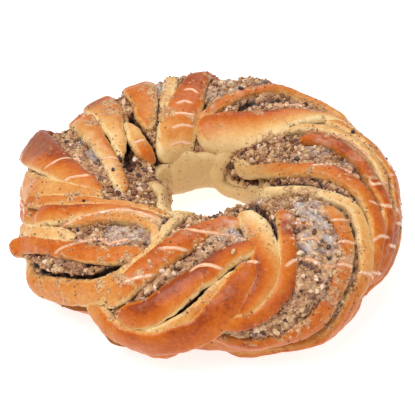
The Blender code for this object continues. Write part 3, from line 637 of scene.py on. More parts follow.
def fold_section(width):
    """A fold's rounded section at each place: side and height in metres, and the share across."""
    width = width[:, None]
    squareness = FOLD_SQUARENESS + np.clip((width - SQUARER_FROM) / MM, 0, MOST_SQUARING) * SQUARER_PER_MM
    crown = np.clip(CROWN_SHARE * width, LOWEST_CROWN, HIGHEST_CROWN)
    turn = np.linspace(0, math.pi, SECTION_TOP)[None]
    across = np.sign(np.cos(turn)) * np.abs(np.cos(turn)) ** (2 / squareness)
    top = (across * width / 2, crown * (np.abs(np.sin(turn)) ** (2 / squareness) - 1), across)
    under = np.linspace(0, math.pi, SECTION_BOTTOM + 2)[None, 1:-1]
    inward = 1 - (1 - ROOT_WIDTH) * np.sin(under) ** 0.5
    root_across = -np.sign(np.cos(under)) * np.abs(np.cos(under)) ** 0.5 * np.ones_like(width)
    root_height = -crown - (FOLD_DEPTH - crown) * np.sin(under) ** 0.6
    root = (root_across * inward * width / 2, root_height, root_across)
    return [np.concatenate([above * np.ones_like(width), below], axis=1) for above, below in zip(top, root)]


def along_path(share, values):
    """Values given at even places along a path, at any shares of its length."""
    return np.interp(share, np.linspace(0, 1, len(values)), values)


def fold_strip(seed, corners, widths, rises, browning, tilt):
    """One fold swept along its path: its points, and the looks of each point."""
    places = smooth_path(corners, STRIP_STEP)
    centres = bread_point(places[:, 0], places[:, 1])
    out = surface_direction(places[:, 0], places[:, 1])
    along = unit(np.gradient(centres, axis=0))
    side = unit(np.cross(along, out))
    run = walked_length(centres)
    share = run / run[-1]
    near_end = np.clip(1 - np.minimum(run, run[-1] - run) / FOLD_END_LENGTH, 0, 1) ** 2
    width = along_path(share, widths) * MM * (1 - (1 - FOLD_END_WIDTH) * near_end)
    rise = along_path(share, rises) * MM - FOLD_END_SINK * near_end
    wobble = run_noise(run, 0.022, seed) + 0.5 * run_noise(run, 0.009, seed + 1)
    rise += CREST_WOBBLE * wobble * (1 - near_end)
    left, right = (SIDE_WOBBLE * (run_noise(run, 0.018, edge) + 0.5 * run_noise(run, 0.006, edge + 1)
                                  + 0.35 * run_noise(run, 0.003, edge + 6)) for edge in (seed + 2, seed + 4))
    sideways, height, across = fold_section(width)
    sideways = sideways + np.where(across > 0, right[:, None], left[:, None]) * np.abs(across)
    points = (centres[:, None] + side[:, None] * sideways[..., None]
              + out[:, None] * (height + rise[:, None])[..., None])
    points[..., 2] = np.maximum(points[..., 2], LOWEST_DOUGH)
    brown = along_path(share, browning)[:, None] + tilt * across
    crest = 1 + height / FOLD_DEPTH
    return points, brown, crest


def base_strip():
    """The base: the lower half of the ring, closed across through the filling's middle."""
    rings = np.arange(TROUGH_STEPS) * 360 / TROUGH_STEPS
    tubes = np.linspace(TROUGH_INNER_RIM - 360, TROUGH_OUTER_RIM, TROUGH_SKIN_STEPS)
    ring, tube = np.meshgrid(rings, tubes, indexing="ij")
    points = bread_point(ring, tube, swelling(ring, tube, BASE_DENTS) - TROUGH_SINK)
    points[..., 2] = np.maximum(points[..., 2], LOWEST_DOUGH)
    inward = np.clip(-np.cos(np.radians(tube)) * 1.5 + 0.5, 0, 1)
    brown = OUTER_BASE_BROWN + (INNER_BASE_BROWN - OUTER_BASE_BROWN) * inward
    return points, brown, np.full(tube.shape, 0.8)


def make_dough():
    """The dough: the base and every fold, each a closed body that leans on its neighbours."""
    strips = [(base_strip(), True)]
    for index, (corners, widths, rises, browning, tilt) in enumerate(FOLDS.values()):
        strips.append((fold_strip(index * 10, corners, widths, rises, browning, tilt), False))
    points, faces, browns, crests = [], [], [], []
    count = 0
    for (strip, brown, crest), closed in strips:
        faces += [tuple(corner + count for corner in face) for face in tube_faces(*strip.shape[:2], closed)]
        points.append(strip.reshape(-1, 3))
        browns.append(np.broadcast_to(brown, crest.shape).ravel())
        crests.append(crest.ravel())
        count += len(points[-1])
    thing = mesh_object("dough_crust", np.concatenate(points), faces)
    mesh = thing.data
    turn_faces_out(mesh)
    points = point_array(mesh)
    normals = normal_array(mesh)
    off_floor = np.clip(points[:, 2] / (3 * MM), 0, 1)
    uneven = layered_noise(points, DOUGH_UNEVENNESS)
    crusty = np.zeros(len(points))
    for ring, tube, reach in CRUSTY_SPOTS:
        distance = lengths(points - bread_point(ring, tube))
        crusty = np.maximum(crusty, np.clip(1.6 - 1.3 * distance / (reach * MM), 0, 1))
    lump, _ = grains(points, 2.6 * MM, 71)
    uneven += crusty * (0.9 * (0.5 - lump) + 0.35 * soft_noise(points, 1.4 * MM, 72))
    move_points(mesh, points + normals * (uneven * off_floor * MM)[:, None])
    facing_up = np.clip(normals[:, 2] * 0.5 + 0.5, 0, 1)
    brown = np.concatenate(browns) + 0.14 * (facing_up - 0.6)
    for ring, tube, reach, amount in TOASTED:
        distance = lengths(points - bread_point(ring, tube))
        brown += amount * np.exp(-(distance / (reach * MM)) ** 2)
    store(mesh, "brown", brown)
    # painted shade: marks the dough near the hole, whose inner wall is darkened to stand in for the shade
    # there
    store(mesh, "hole_wall_shade", np.clip((HOLE_RADIUS + 13 * MM - axis_distances(points)) / (9 * MM), 0, 1))
    store(mesh, "crest", np.concatenate(crests))
    store(mesh, "crusty", crusty)
    return thing


def find_exposure(dough, dough_tree):
    """How open each place of the dough lies to the oven's heat, from 0 in a narrow fold to 1 on a crest."""
    points = point_array(dough.data)
    normals = normal_array(dough.data)
    helper = np.where(np.abs(normals[:, 2:]) < 0.9, np.array((0.0, 0.0, 1.0)), np.array((1.0, 0.0, 0.0)))
    side = unit(np.cross(normals, helper))
    other = np.cross(normals, side)
    starts = [Vector(start) for start in points + normals * 0.4 * MM]
    exposed = np.zeros(len(points))
    for turn in np.arange(EXPOSURE_RAYS) * 2 * math.pi / EXPOSURE_RAYS:
        sideways = side * math.cos(turn) + other * math.sin(turn)
        rays = normals * RAY_OUTWARD + sideways * RAY_SIDEWAYS
        for number, (start, ray) in enumerate(zip(starts, rays.tolist())):
            if dough_tree.ray_cast(start, ray, EXPOSURE_REACH)[0] is None:
                exposed[number] += 1 / EXPOSURE_RAYS
    store(dough.data, "exposed", exposed)


# Filling

def filling_rise(ring, tube):
    """How far the filling's surface lies over the ring's: a depth, less where it swells."""
    below = np.clip(-np.sin(np.radians(tube)), 0, 1)
    return swelling(ring, tube, SWELLS) - FILLING_DEPTH - (BASE_THICKNESS - FILLING_DEPTH) * below


def crevice_depth(points):
    """How deep the crevices cut into the filling at some points, in metres."""
    depth = np.zeros(points.shape[:-1])
    for corners, width, deepest in CREVICES:
        path = smooth_path(corners, MM)
        line = bread_point(path[:, 0], path[:, 1], -FILLING_DEPTH)
        tree = point_tree(line)
        reach = width * MM * 2.2
        near = lengths(points - line.mean(axis=0)) < np.ptp(line, axis=0).max() + reach
        distance = np.full(points.shape[:-1], 1.0)
        distance[near] = [tree.find(point)[2] for point in points[near]]
        wobble = 1 + 0.35 * soft_noise(points, 3 * MM, 77)
        depth = np.maximum(depth, deepest * MM * np.exp(-(distance / (width * MM * wobble)) ** 4))
    return depth


def edge_sink(points, dough_tree):
    """How deep the filling sinks where it meets the folds, in metres: more in some places than others."""
    distance = surface_distances(dough_tree, points, 3 * EDGE_REACH)
    patchy = np.clip(0.45 + 1.1 * soft_noise(points, 14 * MM, 91), 0.05, 1)
    return EDGE_SINK * patchy * np.exp(-(distance / EDGE_REACH) ** 2)


def make_filling(dough_tree):
    """The filling: a ring through the whole bread, with lumps, grains and torn crevices."""
    rings = np.arange(FILLING_RINGS) * 360 / FILLING_RINGS
    shown = np.linspace(FILLING_FIRST_TUBE, FILLING_LAST_TUBE, FILLING_TUBES)
    hidden = np.linspace(FILLING_LAST_TUBE, FILLING_FIRST_TUBE + 360, FILLING_HIDDEN_TUBES + 2)[1:-1]
    tubes = np.concatenate([shown, hidden])
    ring, tube = np.meshgrid(rings, tubes, indexing="ij")
    smooth = bread_point(ring, tube, filling_rise(ring, tube))
    out = surface_direction(ring, tube)
    carved = crevice_depth(smooth)
    large, large_number = grains(smooth, LARGE_GRAIN, 11)
    small, small_number = grains(smooth, SMALL_GRAIN, 23)
    lumps = layered_noise(smooth, FILLING_LUMPS)
    carved = carved + edge_sink(smooth.reshape(-1, 3), dough_tree).reshape(carved.shape)
    relief = lumps + 2.2 * (0.52 - large) * (0.35 + large_number) + 0.8 * (0.5 - small)
    points = smooth + out * (relief * MM - carved)[..., None]
    thing = mesh_object("nut_filling", points.reshape(-1, 3), tube_faces(len(rings), len(tubes), True))
    turn_faces_out(thing.data)
    store(thing.data, "grain", (0.55 * large_number + 0.45 * small_number).ravel())
    store(thing.data, "height", (relief - carved / MM).ravel())
    return thing


def smear_filling(dough, filling_tree):
    """Filling that stuck to the folds beside it: a thin crumbly layer in patches."""
    mesh = dough.data
    points = point_array(mesh)
    normals = normal_array(mesh)
    distance = surface_distances(filling_tree, points, SMEAR_FARTHEST)
    patchy = layered_noise(points, SMEAR_PATCHES)
    smeared = 0.62 - distance / SMEAR_REACH * 0.5 + patchy
    for place, reach, strength in SMEARS:
        beside = lengths(points - bread_point(*place)) / (reach * MM)
        smeared = np.maximum(smeared, strength * np.exp(-beside ** 2) * 2.2 - 0.55 + patchy)
    smeared = np.clip(smeared * 1.3, 0, 1) * np.clip(normals[:, 2] * 2 + 0.9, 0, 1)
    smeared *= np.clip((axis_distances(points) - HOLE_RADIUS - 8 * MM) / (8 * MM), 0, 1)
    lump, _ = grains(points, 2.2 * MM, 303)
    relief = smeared * (0.35 + 1.1 * (0.5 - lump))
    move_points(mesh, points + normals * (relief * MM)[:, None])
    store(mesh, "smeared", smeared)


# Nut pieces, crumbs and raisins

def ball_shape(subdivisions=1):
    """The corners and faces of a ball of radius 1, with 20 triangles or four times as many."""
    shape = bmesh.new()
    bmesh.ops.create_icosphere(shape, subdivisions=subdivisions, radius=1.0)
    corners = np.array([vertex.co[:] for vertex in shape.verts])
    faces = np.array([[vertex.index for vertex in face.verts] for face in shape.faces])
    shape.free()
    return corners, faces


def random_turns(draw, count):
    """Random rotation matrices."""
    w, x, y, z = unit(draw.normal(size=(count, 4))).T
    rows = [[1 - 2 * (y * y + z * z), 2 * (x * y - z * w), 2 * (x * z + y * w)],
            [2 * (x * y + z * w), 1 - 2 * (x * x + z * z), 2 * (y * z - x * w)],
            [2 * (x * z - y * w), 2 * (y * z + x * w), 1 - 2 * (x * x + y * y)]]
    return np.array(rows).transpose(2, 0, 1)


def scattered(name, middles, sizes, tints, draw, subdivisions=1, roughness=0.30, flattening=(1.0, 0.8, 0.6)):
    """Angular bits of the given sizes at some places, joined into one piece."""
    corners, faces = ball_shape(subdivisions)
    count = len(middles)
    bumps = 1 + draw.uniform(-roughness, roughness * 0.6, size=(count, len(corners), 1))
    facets = unit(draw.normal(size=(count, 5, 3)))
    reach = np.einsum("nfi,ci->nfc", facets, corners).max(axis=1)[..., None]
    cut = np.minimum(1.0, 0.80 / np.maximum(reach, 0.5))
    bits = corners[None] * bumps * cut * np.array(flattening)[None, None] * sizes[:, None, None]
    bits = np.einsum("nij,nkj->nki", random_turns(draw, count), bits) + middles[:, None]
    starts = np.arange(count)[:, None, None] * len(corners)
    faces = (faces[None] + starts).reshape(-1, 3).tolist()
    thing = mesh_object(name, bits.reshape(-1, 3), faces, smooth=False)
    store(thing.data, "tint", np.repeat(tints, len(corners)))
    return thing


def is_open(tree, start, direction):
    """Whether no fold lies over a place."""
    return tree.ray_cast(start + direction * PLACE_LIFT, direction, OPEN_SKY)[0] is None


def open_places(thing, dough_tree, tries, draw):
    """Vertices of a piece, in random order, that no fold covers."""
    points = point_array(thing.data)
    normals = normal_array(thing.data)
    height = np.empty(len(points))
    thing.data.attributes["height"].data.foreach_get("value", height)
    kept = []
    for number in draw.permutation(len(points))[:tries]:
        start = Vector(points[number])
        direction = Vector(normals[number])
        shown = height[number] > DEEPEST_NUT and start.z > LOWEST_TOPPING
        if shown and is_open(dough_tree, start, direction):
            kept.append(number)
    return np.array(kept), points, normals


def make_nut_pieces(name, filling, dough_tree, classes, subdivisions, seed):
    """Chopped nuts pressed into the filling wherever it shows between the folds."""
    draw = np.random.default_rng(seed)
    places, points, normals = open_places(filling, dough_tree, NUT_TRIES, draw)
    sizes = np.concatenate([draw.uniform(small, large, count) for count, small, large in classes])
    places = draw.choice(places, len(sizes), replace=len(places) < len(sizes))
    tints = np.clip(draw.normal(NUT_TINT, NUT_TINT_SPREAD, len(sizes)), 0, 1)
    middles = points[places] + normals[places] * (sizes * draw.uniform(-0.35, 0.35, len(sizes)))[:, None]
    return scattered(name, middles, sizes, tints, draw, subdivisions)


def make_crumbs(dough, filling_tree, dough_tree):
    """Crumbs and dark specks stuck to the folds, most of them near the filling."""
    draw = np.random.default_rng(9)
    points = point_array(dough.data)
    normals = normal_array(dough.data)
    clumps = layered_noise(points, CRUMB_CLUMPS)
    kept = []
    for number in draw.permutation(len(points))[:CRUMB_TRIES]:
        start = Vector(points[number])
        direction = Vector(normals[number])
        if start.z < LOWEST_TOPPING or direction.z < -0.3:
            continue
        nearest = filling_tree.find_nearest(start, CRUMB_FARTHEST)[3]
        closeness = 0.03 if nearest is None else 0.05 + 0.80 * math.exp(-(nearest / CRUMB_REACH) ** 2)
        if draw.random() > closeness + 0.20 * clumps[number]:
            continue
        if is_open(dough_tree, start, direction):
            kept.append(number)
            if len(kept) == CRUMB_COUNT:
                break
    kept = np.array(kept)
    sizes = SMALLEST_CRUMB + (LARGEST_CRUMB - SMALLEST_CRUMB) * draw.random(len(kept)) ** 2.6
    dark = draw.random(len(kept)) < DARK_CRUMBS
    tints = np.where(dark, draw.uniform(0.05, 0.3, len(kept)), draw.uniform(0.24, 0.7, len(kept)))
    middles = points[kept] + normals[kept] * (sizes * 0.2)[:, None]
    return scattered("crumbs", middles, sizes, tints, draw)


# Glaze, raisins and single nuts, at the places in the picture where they show


def camera_directions():
    """The directions from the bread to the camera, and upward in the picture."""
    elevation = math.radians(CAMERA_ELEVATION)
    back = Vector((0, -math.cos(elevation), math.sin(elevation)))
    return back, Vector((0, math.sin(elevation), math.cos(elevation)))


def picture_ray(x, y):
    """Where the camera stands, and the direction that it sees at a place in the picture."""
    back, up = camera_directions()
    half = IMAGE_SIDE / 2
    towards = -back + Vector((1, 0, 0)) * ((x - half) / FOCAL_PIXELS) + up * ((half - y) / FOCAL_PIXELS)
    return AIM + back * CAMERA_DISTANCE, towards.normalized()


def picture_place(tree, place):
    """The point and the normal of the bread at a place in the picture, or None."""
    found = tree.ray_cast(*picture_ray(*place))
    return None if found[0] is None else (np.array(found[0]), np.array(found[1]))


def surface_place(tree, ring, tube):
    """The point and the normal of the bread's surface over a ring and tube angle, or None."""
    out = surface_direction(ring, tube)
    found = tree.ray_cast(Vector(bread_point(ring, tube, 12 * MM)), Vector(-out), 22 * MM)
    return None if found[0] is None else (np.array(found[0]), np.array(found[1]))


def even_curve(corners, count):
    """Points along a smooth curve through flat corners."""
    knots = with_end_knots(np.array(corners, float))
    where = np.linspace(0, len(corners) - 1 - 1e-6, count)
    first = where.astype(int)
    return curve_place(*(knots[first + step] for step in range(4)), (where - first)[:, None])


def unbroken_runs(hits):
    """Splits the places along a line wherever it leaves the bread or drops to a deeper fold."""
    runs = [[]]
    for hit in hits:
        if hit is None or (runs[-1] and np.linalg.norm(hit[0] - runs[-1][-1][0]) > GLAZE_JUMP):
            runs.append([])
        if hit is not None:
            runs[-1].append(hit)
    return [run for run in runs if len(run) > 4]


def smoothed(values, reach):
    """A moving mean along a path, shorter at its ends."""
    padded = np.concatenate([values[:1]] * reach + [values] + [values[-1:]] * reach)
    return np.mean([padded[step:step + len(values)] for step in range(2 * reach + 1)], axis=0)


def glaze_ribbon(run, tree, seed):
    """A thin rounded ribbon draped over the bread along a run of places, or None where it is short."""
    points = smoothed(np.array([hit[0] for hit in run]), 1)
    length = lengths(np.diff(points, axis=0)).sum()
    if length < SHORTEST_GLAZE:
        return None
    walked = walked_length(points)
    where = np.linspace(0, length, max(5, int(length / GLAZE_STEP)))
    points = np.stack([np.interp(where, walked, points[:, axis]) for axis in range(3)], -1)
    normals = np.stack([np.interp(where, walked, smoothed(np.array([hit[1] for hit in run]), 2)[:, axis])
                        for axis in range(3)], -1)
    normals /= np.linalg.norm(normals, axis=1, keepdims=True)
    along = np.gradient(points, axis=0)
    side = np.cross(normals, along)
    side /= np.maximum(np.linalg.norm(side, axis=1, keepdims=True), 1e-9)
    taper = np.clip(np.minimum(where, length - where) / GLAZE_TAPER, 0, 1) ** 0.5
    uneven = 0.34 * run_noise(where, 0.004, seed) + 0.28 * run_noise(where, 0.011, seed + 1)
    width = GLAZE_WIDTH * (0.15 + 0.85 * taper) * (1 + uneven)
    rings = []
    for point, normal, beside, wide in zip(points, normals, side, width):
        feet = []
        for across in GLAZE_ACROSS:
            foot = point + beside * across * wide / 2
            found = tree.ray_cast(Vector(foot + normal * 1.5 * MM), Vector(-normal), 3.2 * MM)
            feet.append(foot if found[0] is None else np.array(found[0]))
        crown = GLAZE_THICKNESS * min(1.0, wide / GLAZE_WIDTH)
        ring = [foot + normal * (crown * math.sqrt(max(0.0, 1 - across ** 2)) - GLAZE_SINK)
                for foot, across in zip(feet, GLAZE_ACROSS)]
        rings.append(ring + [feet[-1] - normal * GLAZE_ROOT, feet[0] - normal * GLAZE_ROOT])
    return np.array(rings)


def make_glaze(tree):
    """Every glaze line as ribbons in one piece, and the points along their middles."""
    lines = []
    for corners in GLAZE_IN_PICTURE:
        length = lengths(np.diff(np.array(corners, float), axis=0)).sum()
        lines.append([picture_place(tree, place) for place in even_curve(corners, int(length * 2))])
    draw = np.random.default_rng(21)
    for start, end in GLAZE_BEHIND:
        middle = (np.array(start) + np.array(end)) / 2 + draw.uniform(-3, 3, 2)
        lines.append([surface_place(tree, *place) for place in even_curve((start, middle, end), 90)])
    points, faces, middles = [], [], []
    count = 0
    for number, hits in enumerate(lines):
        for run in unbroken_runs(hits):
            ribbon = glaze_ribbon(run, tree, 600 + number)
            if ribbon is None:
                continue
            quads = tube_faces(*ribbon.shape[:2], False)
            faces += [tuple(corner + count for corner in face) for face in quads]
            points.append(ribbon.reshape(-1, 3))
            middles += list(ribbon[:, len(GLAZE_ACROSS) // 2])
            count += len(points[-1])
    thing = mesh_object("glaze_lines", np.concatenate(points), faces)
    turn_faces_out(thing.data)
    thickness = np.append(1 - np.abs(GLAZE_ACROSS) ** 1.6, (0, 0))
    store(thing.data, "thick", np.tile(thickness, count // len(thickness)))
    return thing, np.array(middles)


def glaze_cover(points, middles, pools):
    """How much thin glaze lies at some points: beside the lines, and in the pools."""
    tree = point_tree(middles)
    distance = np.array([tree.find(point)[2] for point in points])
    cover = 0.75 * np.exp(-(distance / (1.0 * MM)) ** 2)
    patchy = 0.5 + layered_noise(points, POOL_PATCHES)
    for middle, reach, strength in pools:
        near = np.exp(-(lengths(points - middle) / reach) ** 2)
        cover = np.maximum(cover, strength * np.clip(near * 1.6, 0, 1) * np.clip(patchy, 0, 1))
    return cover


def find_pools(tree):
    """The pools of glaze as points with a reach in metres."""
    pixel = CAMERA_DISTANCE / FOCAL_PIXELS
    pools = []
    for place, reach, strength in POOLS_IN_PICTURE:
        hit = picture_place(tree, place)
        if hit is not None:
            pools.append((hit[0], reach * pixel, strength))
    return pools


def make_raisins(tree):
    """Wrinkled raisins pressed into the filling and the folds."""
    places = [(picture_place(tree, place), size) for place, size in RAISINS_IN_PICTURE]
    places += [(surface_place(tree, ring, tube), size) for ring, tube, size in RAISINS_BEHIND]
    places = [(hit, size) for hit, size in places if hit is not None]
    draw = np.random.default_rng(33)
    corners, faces = ball_shape(4)
    points, all_faces = [], []
    for number, ((point, normal), size) in enumerate(places):
        wrinkle = 1 + 0.10 * soft_noise(corners, 0.55, 40 + number)
        wrinkle += 0.06 * soft_noise(corners, 0.25, 80 + number)
        body = corners * wrinkle[:, None] * np.array((1.0, 0.78, 0.66)) * size * MM
        points.append(body @ random_turns(draw, 1)[0].T + point + normal * size * 0.25 * MM)
        all_faces += (faces + number * len(corners)).tolist()
    return mesh_object("raisins", np.concatenate(points), all_faces)


def make_pale_nuts(tree):
    """Single large pale nuts on top of the filling."""
    places = [(picture_place(tree, place), size, tint) for place, size, tint in PALE_NUTS_IN_PICTURE]
    places = [entry for entry in places if entry[0] is not None]
    sizes = np.array([size * MM for _, size, _ in places])
    middles = np.array([hit[0] + hit[1] * size * 0.25 * MM for hit, size, _ in places])
    tints = np.array([tint for _, _, tint in places])
    return scattered("pale_nuts", middles, sizes, tints, np.random.default_rng(41), 3, 0.05)


# Materials

def colour(red, green, blue):
    """A picture colour from 0 to 255 as the linear colour that a shader takes."""
    values = np.array((red, green, blue)) / 255
    linear = np.where(values <= 0.04045, values / 12.92, ((values + 0.055) / 1.055) ** 2.4)
    return (*linear.tolist(), 1.0)


class Shader:
    """A material being built from nodes."""

    def __init__(self, name):
        self.material = bpy.data.materials.new(name)
        self.material.use_nodes = True
        self.tree = self.material.node_tree
        self.surface = self.tree.nodes["Principled BSDF"]

    def node(self, kind, settings=(), **inputs):
        """Adds a node, with its settings, and its inputs as values or other nodes' outputs."""
        node = self.tree.nodes.new(kind)
        for name, value in dict(settings).items():
            setattr(node, name, value)
        for name, value in inputs.items():
            self.join(node.inputs[int(name[1:])] if name[1:].isdigit() else node.inputs[name], value)
        return node

    def join(self, socket, value):
        if isinstance(value, bpy.types.NodeSocket):
            self.tree.links.new(value, socket)
        else:
            socket.default_value = value

    def stored(self, name):
        """A number kept at the vertices."""
        return self.node("ShaderNodeAttribute", {"attribute_name": name}).outputs["Fac"]

    def maths(self, operation, first, *others):
        """One number worked out from several, taken two at a time."""
        for other in others:
            first = self.node("ShaderNodeMath", {"operation": operation}, _0=first, _1=other).outputs[0]
        return first

    def plus(self, *terms):
        return self.maths("ADD", *terms)

    def times(self, *factors):
        return self.maths("MULTIPLY", *factors)

    def noise(self, size, detail=2.0, roughness=0.5):
        """Noise from 0 to 1 whose bumps have about the given size in metres."""
        place = self.node("ShaderNodeNewGeometry").outputs["Position"]
        settings = {"Vector": place, "Scale": 1 / size, "Detail": detail, "Roughness": roughness}
        return self.node("ShaderNodeTexNoise", **settings).outputs["Fac"]

    def spots(self, size, randomness=1.0):
        """Distance to scattered spots' middles, as a share of their spacing."""
        place = self.node("ShaderNodeNewGeometry").outputs["Position"]
        node = self.node("ShaderNodeTexVoronoi", Vector=place, Scale=1 / size, Randomness=randomness)
        return node.outputs["Distance"]

    def ranged(self, value, low, high, to_low=0.0, to_high=1.0):
        ends = {"_1": low, "_2": high, "_3": to_low, "_4": to_high}
        return self.node("ShaderNodeMapRange", {"clamp": True}, _0=value, **ends).outputs[0]

    def ramp(self, value, stops):
        node = self.node("ShaderNodeValToRGB", Fac=value)
        elements = node.color_ramp.elements
        while len(elements) < len(stops):
            elements.new(0.5)
        for element, (place, shade) in zip(elements, stops):
            element.position = place
            element.color = colour(*shade)
        return node.outputs["Color"]

    def mixed(self, share, first, second):
        settings = {"data_type": "RGBA", "clamp_factor": True}
        node = self.node("ShaderNodeMix", settings, _0=share, _6=first, _7=second)
        return node.outputs[2]

    def bump(self, height, depth, strength=1.0, below=None):
        inputs = {"Height": height, "Distance": depth, "Strength": strength}
        if below is not None:
            inputs["Normal"] = below
        return self.node("ShaderNodeBump", **inputs).outputs["Normal"]

    def finish(self, **inputs):
        for name, value in inputs.items():
            self.join(self.surface.inputs[name.replace("_", " ")], value)
        return self.material


def glazed(s, base, rough, share, shade=(226, 214, 204)):
    """Thin milky glaze over a colour, and the roughness under it."""
    cover = s.ranged(s.stored("glazed"), 0.08, 0.9, 0.0, share)
    base = s.mixed(cover, base, colour(*shade))
    return base, s.maths("SUBTRACT", rough, s.times(cover, 0.25))


def crust_material():
    """Baked dough: pale in the folds, golden to brown on top, finely speckled and glossy, with painted shade
    on the hole's inner wall.
    """
    s = Shader("baked crust")
    crest = s.stored("crest")
    patches = s.ranged(s.noise(16 * MM, 3.0, 0.55), 0.3, 0.7, -0.09, 0.09)
    mottle = s.ranged(s.noise(2.6 * MM, 4.0, 0.65), 0.25, 0.75, -0.10, 0.10)
    side = s.ranged(crest, 0.38, 0.88, -0.26, 0.03)
    shaded = s.ranged(s.stored("exposed"), 0.35, 1.0, -0.34, 0.07)
    level = s.plus(s.stored("brown"), patches, mottle, s.plus(side, shaded))
    base = s.ramp(level, CRUST_STOPS)
    # painted shade: the hole's inner wall is darkened to an olive tan, standing in for the shade that falls
    # there
    base = s.mixed(s.times(s.stored("hole_wall_shade"), 0.6), base, colour(190, 150, 96))
    specks = s.ranged(s.spots(2.2 * MM), 0.12, 0.22, 1.0, 0.0)
    few = s.ranged(s.noise(6 * MM, 2.0), 0.46, 0.60, 0.0, 0.8)
    base = s.mixed(s.times(specks, few), base, colour(112, 60, 30))
    blisters = s.ranged(s.spots(5.5 * MM), 0.10, 0.26, 0.55, 0.0)
    blistered = s.times(blisters, s.ranged(s.noise(9 * MM, 2.0), 0.5, 0.62))
    base = s.mixed(blistered, base, colour(158, 84, 40))
    low_side = s.ranged(crest, 0.26, 0.50, 1.0, 0.0)
    stain = s.times(low_side, s.ranged(s.noise(3 * MM, 3.0), 0.35, 0.6))
    base = s.mixed(s.times(stain, 0.6), base, colour(132, 88, 54))
    burnt = s.times(s.stored("crusty"), s.ranged(s.noise(2.4 * MM, 4.0, 0.6), 0.35, 0.62, 0.35, 0.95))
    base = s.mixed(burnt, base, colour(150, 96, 72))
    ragged = s.ranged(s.noise(1.2 * MM, 4.0, 0.65), 0.3, 0.7, -0.45, 0.45)
    stuck = s.ranged(s.plus(s.stored("smeared"), ragged), 0.36, 0.78, 0.0, 0.85)
    crumbly = s.ramp(s.ranged(s.noise(1.5 * MM, 3.0, 0.65), 0.30, 0.70), STUCK_STOPS)
    base = s.mixed(stuck, base, crumbly)
    grain = s.noise(0.7 * MM, 3.0, 0.6)
    wrinkles = s.noise(2.4 * MM, 3.0, 0.55)
    normal = s.bump(wrinkles, 0.5 * MM, 0.6)
    normal = s.bump(grain, 0.22 * MM, 0.5, normal)
    rough = s.ranged(level, 0.2, 0.8, 0.50, 0.33)
    base, rough = glazed(s, base, rough, 0.56, (238, 208, 178))
    return s.finish(Base_Color=base, Roughness=rough, Normal=normal, Coat_Weight=0.04, Coat_Roughness=0.25,
                    Specular_IOR_Level=0.24)


def filling_material():
    """Ground nuts in sugar paste: grains from dark brown to tan, darkest in the crevices, partly from the
    darker paste there and partly as painted shade.
    """
    s = Shader("nut filling paste")
    # darker where the filling lies low: partly the darker paste in the crevices, partly painted shade in them
    deep = s.ranged(s.stored("height"), -3.0, 1.0, -0.52, 0.14)
    grain = s.ranged(s.stored("grain"), 0.0, 1.0, 0.20, 0.86)
    fine = s.ranged(s.noise(0.9 * MM, 3.0, 0.6), 0.3, 0.7, -0.16, 0.16)
    broad = s.ranged(s.noise(5 * MM, 2.0, 0.5), 0.35, 0.65, -0.20, 0.16)
    base = s.ramp(s.plus(grain, deep, fine, broad), FILLING_STOPS)
    pinkish = s.ranged(s.noise(4 * MM, 2.0), 0.52, 0.66, 0.0, 0.5)
    base = s.mixed(pinkish, base, colour(172, 112, 84))
    normal = s.bump(s.noise(0.8 * MM, 3.0, 0.6), 0.4 * MM, 0.7)
    base, rough = glazed(s, base, 0.58, 0.80, (196, 194, 196))
    return s.finish(Base_Color=base, Roughness=rough, Normal=normal, Coat_Weight=0.14, Coat_Roughness=0.25)


def nut_material():
    """Chopped nuts: brown skin to pale kernel, with a little sugar shine."""
    s = Shader("chopped nuts")
    fine = s.ranged(s.noise(0.8 * MM, 2.0, 0.6), 0.3, 0.7, -0.14, 0.14)
    base = s.ramp(s.plus(s.stored("tint"), fine), NUT_STOPS)
    normal = s.bump(s.noise(0.5 * MM, 2.0), 0.15 * MM, 0.5)
    base, rough = glazed(s, base, 0.48, 0.70, (204, 200, 198))
    return s.finish(Base_Color=base, Roughness=rough, Normal=normal, Coat_Weight=0.2, Coat_Roughness=0.22)


def raisin_material():
    """Dark wrinkled skin with a faint bluish bloom."""
    s = Shader("raisin skin")
    bloom = s.ranged(s.noise(1.2 * MM, 3.0), 0.45, 0.65, 0.0, 0.5)
    base = s.mixed(bloom, colour(38, 18, 16), colour(84, 72, 84))
    normal = s.bump(s.noise(0.5 * MM, 3.0), 0.2 * MM, 0.7)
    return s.finish(Base_Color=base, Roughness=0.38, Normal=normal, Coat_Weight=0.3, Coat_Roughness=0.2)


def glaze_material():
    """Sugar glaze, milky and glossy, with a warm tint from the crust under it."""
    s = Shader("sugar glaze")
    uneven = s.ranged(s.noise(2.5 * MM, 3.0), 0.35, 0.65, -0.35, 0.10)
    base = s.ramp(s.plus(s.stored("thick"), uneven), GLAZE_STOPS)
    normal = s.bump(s.noise(1.2 * MM, 2.0), 0.1 * MM, 0.5)
    return s.finish(Base_Color=base, Roughness=0.28, Normal=normal, Coat_Weight=0.35, Coat_Roughness=0.12)


# Studio

def add_camera():
    """The camera at the photograph's viewing angle."""
    camera = bpy.data.cameras.new("camera")
    camera.sensor_width = 36.0
    camera.lens = camera.sensor_width * FOCAL_PIXELS / IMAGE_SIDE
    camera.clip_start = 0.01
    camera.clip_end = 20.0
    thing = bpy.data.objects.new("camera", camera)
    thing.location = AIM + camera_directions()[0] * CAMERA_DISTANCE
    thing.rotation_euler = (math.pi / 2 - math.radians(CAMERA_ELEVATION), 0, 0)
    scene.collection.objects.link(thing)
    scene.camera = thing


def add_area_light(name, location, size, watts):
    """A round white light at a place, turned to the bread."""
    lamp = bpy.data.lights.new(name, "AREA")
    lamp.shape = "DISK"
    lamp.size = size
    lamp.energy = watts
    thing = bpy.data.objects.new(name, lamp)
    thing.location = location
    thing.rotation_euler = (AIM - Vector(location)).to_track_quat("-Z", "Y").to_euler()
    scene.collection.objects.link(thing)


